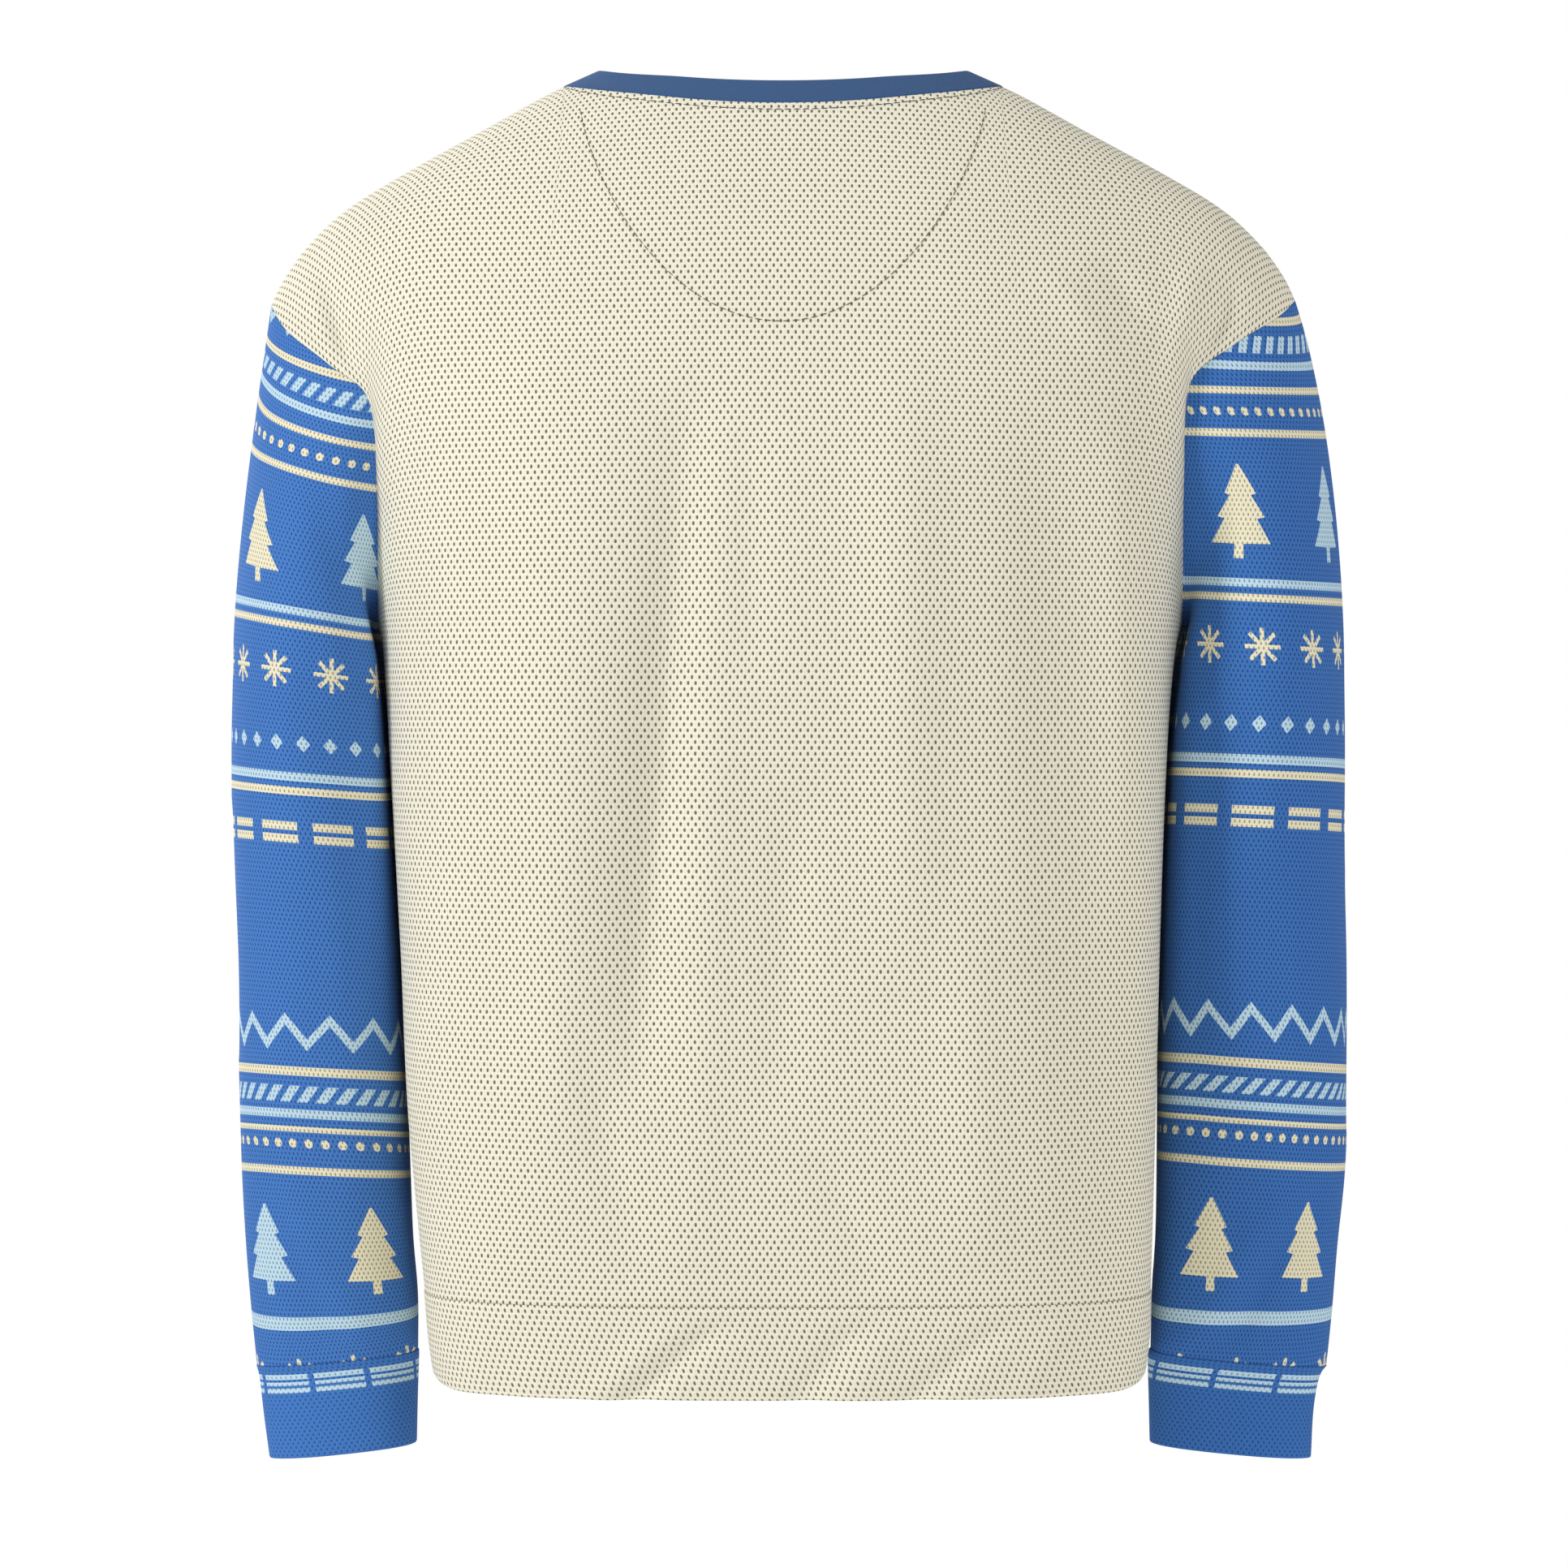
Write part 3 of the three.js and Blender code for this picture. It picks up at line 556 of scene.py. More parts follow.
def waistband_grid(back_row, front_row):
    """The body's bottom row, then the body's ovals down to the hem."""
    z = WAIST_SEAM + (HEM - WAIST_SEAM) * WAIST_STEPS[:, None] + 0 * SIDES
    back = body_point(z, SIDES + 0 * z, BACK)
    front = body_point(z, SIDES + 0 * z, FRONT)
    lift = HEM_LIFT * WAIST_STEPS[:, None] ** 2 * smoothstep(np.abs(SIDES), *HEM_LIFT_SPAN)
    back[..., 2] += lift
    front[..., 2] += lift
    rows = np.concatenate([back, front[:, -2:0:-1]], axis=1)
    return np.concatenate([closed_row(back_row, front_row)[None], rows])


NECK_STEPS = steps(NECK_BAND_WIDTH, 7)


def neck_band_grid(seam, turn):
    """Each row is moved inwards from the neckline and up, more steeply at the back and front."""
    across, along = -np.cos(turn), np.sin(turn)
    steep = np.where(along > 0, NECK_BAND_RISE[BACK], NECK_BAND_RISE[FRONT])
    rise = np.radians(NECK_BAND_RISE["side"] + (steep - NECK_BAND_RISE["side"]) * along ** 2)
    inward = place(-across * np.cos(rise), -along * np.cos(rise), np.sin(rise))
    return seam + NECK_BAND_WIDTH * NECK_STEPS[:, None, None] * inward


# %% [markdown]
# ## Folds
# Worn cloth hangs in long soft folds from where it is held: the shoulder blades, the chest and
# the armholes. Each row of a table is one trough (-) or ridge (+) from one end to the other,
# with its own width and height. Its height follows exp(-(distance / width)^2) across, and along
# it (4 t (1 - t))^0.6, with t from 0 to 1. Folds fade out just before a seam, so pieces still
# meet.


# %% The folds of each piece
body_folds = table(
    "face x0 z0 x1 z1 width height",
    (1, 47, -165, 76, -540, 15, -8.6), (1, 92, -160, 112, -560, 20, 4.6),
    (1, 126, -140, 118, -600, 22, 5.0), (1, 17, -180, 16, -320, 11, -2.8),
    (1, -6, -370, 2, -540, 13, -3.1), (1, 34, -330, 46, -620, 12, 2.2),
    (1, -60, -150, -64, -480, 20, 6.0), (1, -136, -170, -168, -634, 24, -9.4),
    (1, -176, -190, -184, -440, 13, 4.2), (1, -92, -420, -102, -620, 16, 3.4),
    (1, 193, -170, 186, -440, 11, -4.0), (1, 108, -480, 70, -640, 12, -2.5),
    (1, -20, -560, -52, -636, 12, -2.8), (1, 222, -178, 240, -98, 7, -5.3),
    (1, 236, -160, 252, -104, 8, 3.1), (1, -220, -172, -234, -104, 7, -5.6),
    (1, -200, -190, -214, -98, 9, 3.7), (1, -186, -132, -168, -98, 9, -2.5),
    (1, -168, -150, -140, -104, 10, 2.2),
    (-1, 70, -200, 92, -600, 24, -7.1), (-1, -66, -210, -84, -620, 20, -7.4),
    (-1, 4, -170, 0, -560, 30, 5.6), (-1, 128, -190, 122, -590, 22, 4.7),
    (-1, -132, -200, -150, -560, 22, 5.0), (-1, 176, -210, 168, -520, 15, -4.7),
    (-1, -190, -210, -178, -480, 14, -4.3), (-1, 40, -420, 26, -636, 12, -3.1),
    (-1, 222, -180, 240, -100, 8, -5.3), (-1, -220, -174, -236, -100, 8, -5.0),
    (-1, 150, -120, 110, -250, 16, -3.1), (-1, -148, -124, -100, -262, 15, -3.4))
waist_folds = table(
    "face x0 z0 x1 z1 width height",
    (1, 24, -640, 98, -706, 11, -3.0), (1, 50, -642, 120, -710, 11, 1.8),
    (1, -42, -642, 6, -708, 10, -2.4), (1, -66, -640, -20, -704, 11, 1.4),
    (1, -118, -642, -40, -712, 12, -2.8), (1, -150, -645, -112, -710, 12, 1.8),
    (1, 140, -650, 156, -712, 12, -1.6),
    (-1, -30, -642, -84, -708, 11, -2.6), (-1, 44, -642, 10, -706, 11, -2.2),
    (-1, 108, -642, 76, -710, 12, 2.0), (-1, -120, -642, -138, -712, 12, -2.0))
# On a sleeve the folds lie across (from its outer edge by the back) and up.
sleeve_folds = table(
    "side x0 z0 x1 z1 width height",
    (1, 104, -196, 132, -330, 12, -3.2), (1, 84, -250, 92, -430, 16, 2.2),
    (1, 116, -330, 124, -600, 13, -2.6), (1, 40, -560, 78, -672, 12, -2.2),
    (1, 60, -600, 100, -684, 10, 1.6), (1, 20, -380, 8, -520, 16, -1.6),
    (1, -40, -260, -66, -420, 18, -3.2), (1, -70, -420, -24, -520, 14, -2.8),
    (1, -90, -470, -44, -560, 12, 2.0), (1, -30, -580, -70, -672, 12, -2.4),
    (-1, 112, -190, 140, -330, 13, -4.2), (-1, 92, -230, 100, -440, 16, 2.6),
    (-1, 128, -330, 132, -610, 13, -3.2), (-1, 50, -580, 112, -680, 11, -2.8),
    (-1, 84, -590, 132, -676, 10, 1.8), (-1, 28, -420, 14, -560, 16, -1.6),
    (-1, -44, -250, -70, -410, 18, -3.0), (-1, -66, -410, -20, -516, 14, -2.6),
    (-1, -92, -460, -40, -550, 12, 2.2), (-1, -28, -570, -72, -670, 12, -2.4))


def fold_height(x, z, face, folds):
    """The sum of all folds of one face at (x, z)."""
    height = 0 * x
    for which, x0, z0, x1, z1, width, tall in np.stack(list(folds.values()), -1):
        if which != face:
            continue
        along = (z - z0) / (z1 - z0)
        across = (x - x0 - (x1 - x0) * along) / width
        ends = np.maximum(0, 4 * along * (1 - along)) ** 0.6
        height += tall * ends * np.exp(-across ** 2)
    return height


# %% [markdown]
# ## From a surface to cloth
# Cloth has two faces and cut edges. Each grid is moved out and in along its normals by half the
# cloth's thickness and closed round its rim. Pieces that share a seam share the normals there,
# so both faces meet. Near a seam or a folded edge the cloth thins in a quarter circle, which
# leaves the fine ditch that a sewn seam shows.


# %% Normals that neighbours share
def shared_normals(grids):
    """Adds up the face normals round each place, whichever grids they belong to."""
    places, normals = [], []
    for grid, rounds, outward in grids:
        wrapped = np.concatenate([grid, grid[:, :1]], axis=1) if rounds else grid
        a, b = wrapped[:-1, :-1], wrapped[:-1, 1:]
        c, d = wrapped[1:, 1:], wrapped[1:, :-1]
        cross = np.cross(c - a, d - b) * outward
        for corner in (a, b, c, d):
            places.append(corner.reshape(-1, 3))
            normals.append(cross.reshape(-1, 3))
    keys = np.round(np.concatenate(places), 2)
    keys, where = np.unique(keys, axis=0, return_inverse=True)
    sums = np.zeros((len(keys), 3))
    np.add.at(sums, where.ravel(), np.concatenate(normals))
    sums /= np.linalg.norm(sums, axis=1, keepdims=True) + 1e-12
    found, start = [], 0
    where = where.ravel()
    for grid, rounds, outward in grids:
        rows, columns = grid.shape[:2]
        cell_columns = columns if rounds else columns - 1
        count = (rows - 1) * cell_columns
        normal = np.zeros((rows, columns, 3))
        corners = where[start:start + 4 * count].reshape(4, rows - 1, cell_columns)
        a, b, c, d = sums[corners]
        normal[:-1, :cell_columns] = a
        normal[1:, :cell_columns] = d
        if not rounds:
            normal[:-1, -1] = b[:, -1]
            normal[1:, -1] = c[:, -1]
        found.append(normal)
        start += 4 * count
    return found


# %% Distance from the nearest seam
def edge_distance(grid, rounds):
    """Length along the rows and columns of a grid to its nearest seam or edge."""
    down = np.linalg.norm(np.diff(grid, axis=0), axis=-1)
    from_top = np.concatenate([0 * down[:1], np.cumsum(down, axis=0)])
    nearest = np.minimum(from_top, from_top[-1:] - from_top)
    if not rounds:
        across = np.linalg.norm(np.diff(grid, axis=1), axis=-1)
        from_side = np.concatenate([0 * across[:, :1], np.cumsum(across, axis=1)], axis=1)
        nearest = np.minimum(nearest, np.minimum(from_side, from_side[:, -1:] - from_side))
    return nearest


EDGE_ROUND = 1.2               # how far from a seam the cloth starts to thin
EDGE_LEFT = 0.85               # share of the thickness that is left at the seam
SEAM_GAP = 0.06                # between two pieces along a seam


def cloth(name, grid, normals, rounds, outward, thickness, uv):
    """A closed wall: the outer face, the inner face and a rim of quads round every open edge."""
    rows, columns = grid.shape[:2]
    near = np.clip(edge_distance(grid, rounds) / EDGE_ROUND, 0, 1)
    share = EDGE_LEFT + (1 - EDGE_LEFT) * np.sqrt(1 - (1 - near) ** 2)
    half = (thickness / 2 * share)[..., None] * normals
    drawn = drawn_back(grid, rounds)
    points = np.concatenate([(drawn + half).reshape(-1, 3), (drawn - half).reshape(-1, 3)])
    number = np.arange(rows * columns).reshape(rows, columns)
    if rounds:
        number = np.concatenate([number, number[:, :1]], axis=1)
    a, b, c, d = number[:-1, :-1], number[:-1, 1:], number[1:, 1:], number[1:, :-1]
    outer = np.stack([a, b, c, d], -1).reshape(-1, 4)
    inner = np.stack([a, d, c, b], -1).reshape(-1, 4) + rows * columns

    def rim(line):
        step = np.stack([line[:-1], line[1:]], -1)
        return np.stack([step[:, 1], step[:, 0], step[:, 0] + rows * columns,
                         step[:, 1] + rows * columns], -1)
    rims = [rim(number[0]), rim(number[-1, ::-1])]
    if not rounds:
        rims += [rim(number[::-1, 0]), rim(number[:, -1])]
    faces = np.concatenate([outer, inner, *rims])
    if outward < 0:
        faces = faces[:, ::-1]
    thing = new_mesh(name, points, faces)
    corner_uv(thing, faces, uv, rows, columns, rounds)
    return thing


def drawn_back(grid, rounds):
    """The grid with its seam rows and columns drawn back by half the seam gap."""
    moved = grid.copy()

    def draw(edge, beside):
        way = beside - edge
        return edge + way / (np.linalg.norm(way, axis=-1, keepdims=True) + 1e-9) * SEAM_GAP / 2
    moved[0] = draw(grid[0], grid[1])
    moved[-1] = draw(grid[-1], grid[-2])
    if not rounds:
        moved[:, 0] = draw(moved[:, 0], moved[:, 1])
        moved[:, -1] = draw(moved[:, -1], moved[:, -2])
    return moved


def corner_uv(thing, faces, uv, rows, columns, rounds):
    """Gives every corner its place in the flat cloth, in metres: across it, and down it. A tube's
    last column joins its first one, so the corners there take the value past the last column."""
    layer = thing.data.uv_layers.new(name="flat cloth")
    number = faces % (rows * columns)
    row, column = number // columns, number % columns
    if rounds:
        wraps = (column.max(axis=1) - column.min(axis=1)) > columns / 2
        column = np.where(wraps[:, None] & (column == 0), columns, column)
    values = uv[row, column] * MM
    layer.data.foreach_set("uv", values.reshape(-1).astype(np.float32))


# %% [markdown]
# ## Where each point lies in the flat cloth
# A printed pattern is straight in the flat cloth and bends with it on the body. So each piece
# has a map of its flat cloth: how far a point is along its column, and then how far across,
# found from the length of the row with what it rises or falls taken out.


# %% Flat maps
LEAST_LEVEL = 0.2              # least share of a steep row's length, squared, that counts across


def panel_map(grid):
    """Across and down in millimetres: lengths up the columns, then along the rows."""
    down = np.linalg.norm(np.diff(grid, axis=0), axis=-1)
    up = np.concatenate([0 * down[:1], np.cumsum(down, axis=0)])
    under = len(SKIRT_HEIGHTS) - 1
    up = up - up[under] + (UNDERARM - WAIST_SEAM)
    along = np.linalg.norm(np.diff(grid, axis=1), axis=-1)
    level = np.sqrt(np.maximum(along ** 2 - np.diff(up, axis=1) ** 2, LEAST_LEVEL * along ** 2))
    across = np.concatenate([0 * level[:, :1], np.cumsum(level, axis=1)], axis=1)
    middle = len(SIDES) // 2
    return np.stack([across - across[:, middle:middle + 1], up], -1)


def tube_map(grid, down):
    """Across and down in millimetres on a tube: the length round it from the column half way,
    and the given way down. It has one more column than the grid, past the last one."""
    closed = np.concatenate([grid, grid[:, :1]], axis=1)
    along = np.linalg.norm(np.diff(closed, axis=1), axis=-1)
    across = np.concatenate([0 * along[:, :1], np.cumsum(along, axis=1)], axis=1)
    down = np.concatenate([down, down[:, :1]], axis=1)
    middle = grid.shape[1] // 2
    return np.stack([across - across[:, middle:middle + 1], down], -1)


def oval_arc(turn, half_x, half_y, square):
    """The length of a squarish oval from its outer end to the direction `turn`, in 48 chords."""
    turns = turn[..., None] * np.linspace(0, 1, 49)
    x = half_x[..., None] * np.cos(turns)
    y = half_y[..., None] * np.sin(turns)
    size = oval_reach(x, y, half_x[..., None], half_y[..., None], square)
    step = np.hypot(np.diff(x * size), np.diff(y * size))
    return np.sign(turn) * step.sum(-1)


# %% How the print lies on each sleeve
# `down` is how far down the print a height of the sleeve is, in millimetres from the first cream
# line, measured along the middle of the sleeve's back. The stripes are planes: `tilt` is how
# steeply they fall towards the wearer's right, and `pitch` how steeply they rise to the front.
# `slip` is how far the cloth has slipped towards the body in the middle of the sleeve's back,
# and `roll` how far its back and outside have turned round the arm.
print_left = table(
    "z down tilt pitch slip roll",
    (-116, -44, 0.16, 0.42, -10, 22), (-157, 0, 0.18, 0.38, -10, 21),
    (-178, 22.5, 0.205, 0.25, -10, 20), (-189, 35.9, 0.22, 0.19, -10, 19),
    (-210, 58.8, 0.235, 0.12, -8, 17), (-225, 76, 0.222, 0.09, -6, 13.6),
    (-240, 92, 0.21, 0.06, -4, 9.5), (-271, 126, 0.19, 0.02, -1, 1),
    (-282, 138.4, 0.185, 0.01, 0, 0), (-313, 171.7, 0.14, 0, 0, 0),
    (-367.6, 231.9, 0.085, 0, 0, 0), (-400, 265.6, 0.075, -0.02, 0, 0),
    (-492.4, 361.2, 0.065, -0.05, 3, 0), (-523, 393.7, 0.06, -0.06, 7, 0),
    (-576.5, 446.4, 0.053, -0.07, 8, 0), (-644, 514.5, -0.01, 0.05, 8, 6.5),
    (-660, 530.4, -0.05, 0.10, 8, 7.5), (-675, 549, -0.08, 0.12, 8, 8),
    (-692, 566, -0.10, 0.12, 8, 8))
print_right = table(
    "z down tilt pitch slip roll",
    (-87, -44, 0.20, 0.35, -16, 25), (-130, 0, 0.12, 0.22, -16, 24),
    (-153, 22.5, 0.05, 0.11, -16, 23), (-165.6, 35.9, 0.025, 0.07, -15, 22),
    (-188, 58.8, 0.03, 0.055, -12, 19.5), (-204, 76, 0.035, 0.047, -9, 16),
    (-220, 92, 0.04, 0.04, -6, 11), (-254, 126, 0.05, 0.03, -1.5, 1.2),
    (-266, 138.4, 0.053, 0.025, 0, 0), (-299, 171.7, 0.05, 0.01, 0, 0),
    (-357.6, 231.9, 0.04, -0.02, 0, 0), (-391, 265.6, 0.045, -0.03, 0, 0),
    (-485.5, 361.2, 0.065, -0.05, 7, 0), (-518, 393.7, 0.07, -0.058, 13, 0),
    (-572, 446.4, 0.064, -0.045, 18, 0), (-642, 514.8, 0.02, 0, 20, 12),
    (-656.6, 530.4, 0.01, 0.04, 20, 14), (-682, 555.9, 0.03, 0.12, 20, 15),
    (-695, 568, 0.03, 0.12, 20, 15))
SLIP_MIDDLE = 88.0             # how far round from the outer edge the slip is greatest
SLIP_REACH = 60.0              # and over what length it fades
# The roll fades out towards the front over 40 mm, between two trees: round the first value above
# the elbow and the second below it, on the left (1) and the right (-1).
ROLL_FADES = {1: (-34.0, -54.0), -1: (-47.0, -34.0)}
ROLL_FADE_HALF = 20.0
ELBOW = -450.0
SLEEVE_MIDDLE = 246.0          # where `tilt` has no effect, out from the middle of the garment

# Level sections of a sleeve, for measuring how far round it a point lies.
sleeve_levels = table(
    "z out_left out_right inner back front",
    (-110, 270, 271, 210, 40, -48), (-140, 277, 278, 208, 50, -60),
    (-175, 283, 285, 205, 60, -72), (-230, 290, 293, 201, 66, -84),
    *np.stack(list(sleeve_rings.values()), -1))


def sleeve_map(grid, sign):
    """Across: how far round its level section a point is. Down: its height, with tilt * x and
    pitch * y taken out, in millimetres of the print."""
    lie = print_left if sign > 0 else print_right
    x, y, z = sign * grid[..., 0], grid[..., 1], grid[..., 2]
    plane = rows_at(lie, "z", np.clip(z, lie["z"].min(), lie["z"].max()))
    section = rows_at(sleeve_levels, "z", np.clip(z, SLEEVE_END, sleeve_levels["z"].max()))
    level = z - plane["tilt"] * (grid[..., 0] - sign * SLEEVE_MIDDLE)
    level += plane["pitch"] * (y - section["back"])
    order = np.argsort(lie["z"])
    down = np.interp(level, lie["z"][order], lie["down"][order])
    outer = section["out_left"] if sign > 0 else section["out_right"]
    half_x = (outer - section["inner"]) / 2
    half_y = (section["back"] - section["front"]) / 2
    turn = np.arctan2((y - section["front"] - half_y) / half_y, (x - outer + half_x) / half_x)
    turn = np.where(np.abs(ROUND) > 0.5, np.abs(turn) * np.sign(ROUND), turn)
    across = oval_arc(turn, half_x, half_y, SLEEVE_SQUARE)
    slip = plane["slip"] * np.exp(-((across - SLIP_MIDDLE) / SLIP_REACH) ** 2)
    past = across - np.where(z > ELBOW, *ROLL_FADES[sign])
    across += slip + plane["roll"] * smoothstep(past, -ROLL_FADE_HALF, ROLL_FADE_HALF)
    seam = oval_arc(0 * turn[:, :1] + np.pi, half_x[:, :1], half_y[:, :1], SLEEVE_SQUARE)
    seam += plane["roll"][:, :1]
    across = np.concatenate([across, seam], axis=1)
    return np.stack([across, np.concatenate([down, down[:, :1]], axis=1)], -1)


# %% Work out every grid
back_grid = panel_grid(BACK)
front_grid = panel_grid(FRONT)
left_grid, right_grid = sleeve_grid(1), sleeve_grid(-1)
left_cuff_grid, right_cuff_grid = cuff_grid(1, left_grid[-1]), cuff_grid(-1, right_grid[-1])
waist_grid = waistband_grid(back_grid[0], front_grid[0])
neck_seam = closed_row(back_grid[-1][NECK_COLUMNS], front_grid[-1][NECK_COLUMNS])
neck_turn = np.arange(len(neck_seam)) / len(neck_seam) * 2 * np.pi
neck_grid = neck_band_grid(neck_seam, neck_turn)

FLEECE = 2.0                   # thickness of the panels and sleeves
RIB = 3.0                      # thickness of the folded bands
plan = {                       # grid, whether it goes all round, which way is out, thickness
    "back_panel": (back_grid, False, -1, FLEECE),
    "front_panel": (front_grid, False, 1, FLEECE),
    "sleeve_left": (left_grid, True, -1, FLEECE),
    "sleeve_right": (right_grid, True, 1, FLEECE),
    "cuff_left": (left_cuff_grid, True, -1, RIB),
    "cuff_right": (right_cuff_grid, True, 1, RIB),
    "waistband": (waist_grid, True, 1, RIB),
    "neck_rib": (neck_grid, True, -1, RIB),
}

# Flat maps are taken before the folds, so a fold carries the print with it.
maps = {
    "back_panel": panel_map(back_grid),
    "front_panel": panel_map(front_grid),
    "sleeve_left": sleeve_map(left_grid, 1),
    "sleeve_right": sleeve_map(right_grid, -1),
    "cuff_left": tube_map(left_cuff_grid, left_grid[-1, :, 2] - left_cuff_grid[..., 2]),
    "cuff_right": tube_map(right_cuff_grid, right_grid[-1, :, 2] - right_cuff_grid[..., 2]),
    "waistband": tube_map(waist_grid, waist_grid[..., 2] - WAIST_SEAM),
    "neck_rib": tube_map(neck_grid, NECK_BAND_WIDTH * NECK_STEPS[:, None] + 0 * neck_turn),
}
FOLD_FADE = 16.0               # how far from a seam a fold reaches its full height
WAIST_FOLD_REACH = 190.0       # how far from the middle the waistband's folds go


def fold_piece(name, lift, out, away):
    """Moves a grid out by its folds' height, which fades away to nothing at its seams."""
    plan[name][0][:] += out * (lift * smoothstep(away, 0, FOLD_FADE))[..., None]


for name, face in (("back_panel", BACK), ("front_panel", FRONT)):
    grid = plan[name][0]
    lift = fold_height(grid[..., 0], grid[..., 2], face, body_folds)
    fold_piece(name, lift, np.array([0, face, 0]), edge_distance(grid, False))
for name, sign in (("sleeve_left", 1), ("sleeve_right", -1)):
    grid = plan[name][0]
    middle = grid.mean(axis=1, keepdims=True)
    out = (grid - middle) * [1, 1, 0]
    out /= np.linalg.norm(out, axis=-1, keepdims=True)
    lift = fold_height(maps[name][:, :-1, 0], grid[..., 2], sign, sleeve_folds)
    fold_piece(name, lift, out, edge_distance(grid, True))
facing = np.sign(waist_grid[..., 1] - SIDE_SEAM_Y)
for face in (BACK, FRONT):
    lift = fold_height(waist_grid[..., 0], waist_grid[..., 2], face, waist_folds)
    side_fade = (1 - np.abs(waist_grid[..., 0] / WAIST_FOLD_REACH) ** 6).clip(0)
    lift = lift * (facing == face) * side_fade
    fold_piece("waistband", lift, np.array([0, face, 0]), WAIST_SEAM - waist_grid[..., 2])

surfaces = [(grid, rounds, outward) for grid, rounds, outward, _ in plan.values()]
normals = dict(zip(plan, shared_normals(surfaces)))

pieces = {}
for name, (grid, rounds, outward, thickness) in plan.items():
    pieces[name] = cloth(name, grid, normals[name], rounds, outward, thickness, maps[name])
    print(name, "has", len(pieces[name].data.polygons), "faces")


# %% [markdown]
# ## The half-moon patch
# Inside the neck a half-moon of the same fleece faces the back panel, so it lies 0.5 mm inside it
# and follows its every point, moved inwards along the cloth's own normals. From outside only the
# line of stitches along its edge shows.


# %% The grid of the patch
PATCH_REACH = NECK_SHARE * 0.925   # half its width, as a share of the half width
PATCH_DEPTH = 0.312            # share of the yoke
PATCH_LEAST_DEPTH = 0.046
PATCH_BELOW = 0.012            # how far it stays below the neckline
PATCH_CLOTH = 1.2              # thickness
PATCH_GAP = 0.5                # to the back panel
PATCH_ROWS = 26

patch_columns = np.flatnonzero(np.abs(SIDES) <= PATCH_REACH)
patch_sides = SIDES[patch_columns]


def patch_rows(shares):
    """How far up the back panel's rows each share of the patch's depth lies, for its columns."""
    top = neckline_part(patch_sides, BACK)
    corner, middle = neckline_part(np.array([PATCH_REACH, 0]), BACK)
    bow = np.sqrt(1 - (patch_sides / PATCH_REACH) ** 2)
    curve = corner - (corner - middle + PATCH_DEPTH) * bow
    drop = np.maximum(PATCH_LEAST_DEPTH, top - curve)
    part = top - drop * (1 - shares[:, None]) - PATCH_BELOW
    slow = (1 - np.sqrt(1 - 4 * (1 - top) * part)) / (2 * (1 - top))
    share = slow ** (1 / (1 + ROW_SLOWING * patch_sides ** 2))
    return len(SKIRT_HEIGHTS) - 1 + np.interp(share, ARM_SHARES, np.arange(len(ARM_SHARES)))


def on_grid(values, at, columns):
    """Values of a grid at rows that may lie between its own rows."""
    below = np.minimum(at.astype(int), len(values) - 2)
    rest = (at - below)[..., None]
    return values[below, columns] * (1 - rest) + values[below + 1, columns] * rest


patch_at = patch_rows(np.linspace(0, 1, PATCH_ROWS))
patch_out = on_grid(normals["back_panel"], patch_at, patch_columns)
patch_grid = on_grid(plan["back_panel"][0], patch_at, patch_columns)
patch_grid = patch_grid - patch_out * (FLEECE / 2 + PATCH_GAP + PATCH_CLOTH / 2)
patch_normals, = shared_normals([(patch_grid, False, -1)])
maps["half_moon_patch"] = on_grid(maps["back_panel"], patch_at, patch_columns)
pieces["half_moon_patch"] = cloth("half_moon_patch", patch_grid, patch_normals, False, -1,
                                  PATCH_CLOTH, maps["half_moon_patch"])
print("the patch has", len(pieces["half_moon_patch"].data.polygons), "faces")

# %% [markdown]
# ## Stitches
# Two lines of dark thread show: one 4.5 mm below the neck seam, which holds the seam down, and
# one along the edge of the patch. Each stitch is a short spindle that rises from the cloth at one
# end and dips into it at the other, so a line is one mesh of many small closed tubes.


# %% A line of stitches
STITCH_LENGTH = 4.0
STITCH_GAP = 0.8
STITCH_RISE = 0.3              # how much higher its middle is than its ends
STITCH_RINGS = 7
THREAD = 0.46                  # thickness, in millimetres


def stitch_line(name, path, out):
    """Spindles along a path: each is THREAD * sqrt(1 - t^2) thick and STITCH_RISE * (1 - t^2)
    higher than its ends, with t from -1 to 1. Its rings have six corners."""
    length = np.concatenate([[0], np.cumsum(np.linalg.norm(np.diff(path, axis=0), axis=1))])
    count = int(length[-1] / (STITCH_LENGTH + STITCH_GAP))
    t = np.linspace(-1, 1, STITCH_RINGS)
    middle = (np.arange(count) + 0.5) * length[-1] / count
    where = middle[:, None] + t * STITCH_LENGTH / 2
    at = np.stack([np.interp(where, length, path[:, axis]) for axis in range(3)], -1)
    up = np.stack([np.interp(where, length, out[:, axis]) for axis in range(3)], -1)
    ahead = np.gradient(at, axis=1)
    ahead /= np.linalg.norm(ahead, axis=-1, keepdims=True)
    beside = np.cross(ahead, up)
    at = at + up * STITCH_RISE * (1 - t * t)[:, None]
    turn = np.arange(6) * np.pi / 3
    thick = THREAD / 2 * np.sqrt(np.maximum(0.01, 1 - t * t))[:, None, None]
    round_it = np.cos(turn)[:, None] * up[:, :, None] + np.sin(turn)[:, None] * beside[:, :, None]
    points = at[:, :, None] + thick * round_it
    number = np.arange(count * STITCH_RINGS * 6).reshape(count, STITCH_RINGS, 6)
    around = np.roll(number, -1, axis=2)
    sides = np.stack([number[:, :-1], around[:, :-1], around[:, 1:], number[:, 1:]], -1)
    ends = [number[:, 0][:, [3, 2, 1, 0]], number[:, 0][:, [5, 4, 3, 0]],
            number[:, -1][:, [0, 1, 2, 3]], number[:, -1][:, [0, 3, 4, 5]]]
    faces = np.concatenate([sides.reshape(-1, 4), *ends])
    return new_mesh(name, points.reshape(-1, 3), faces)


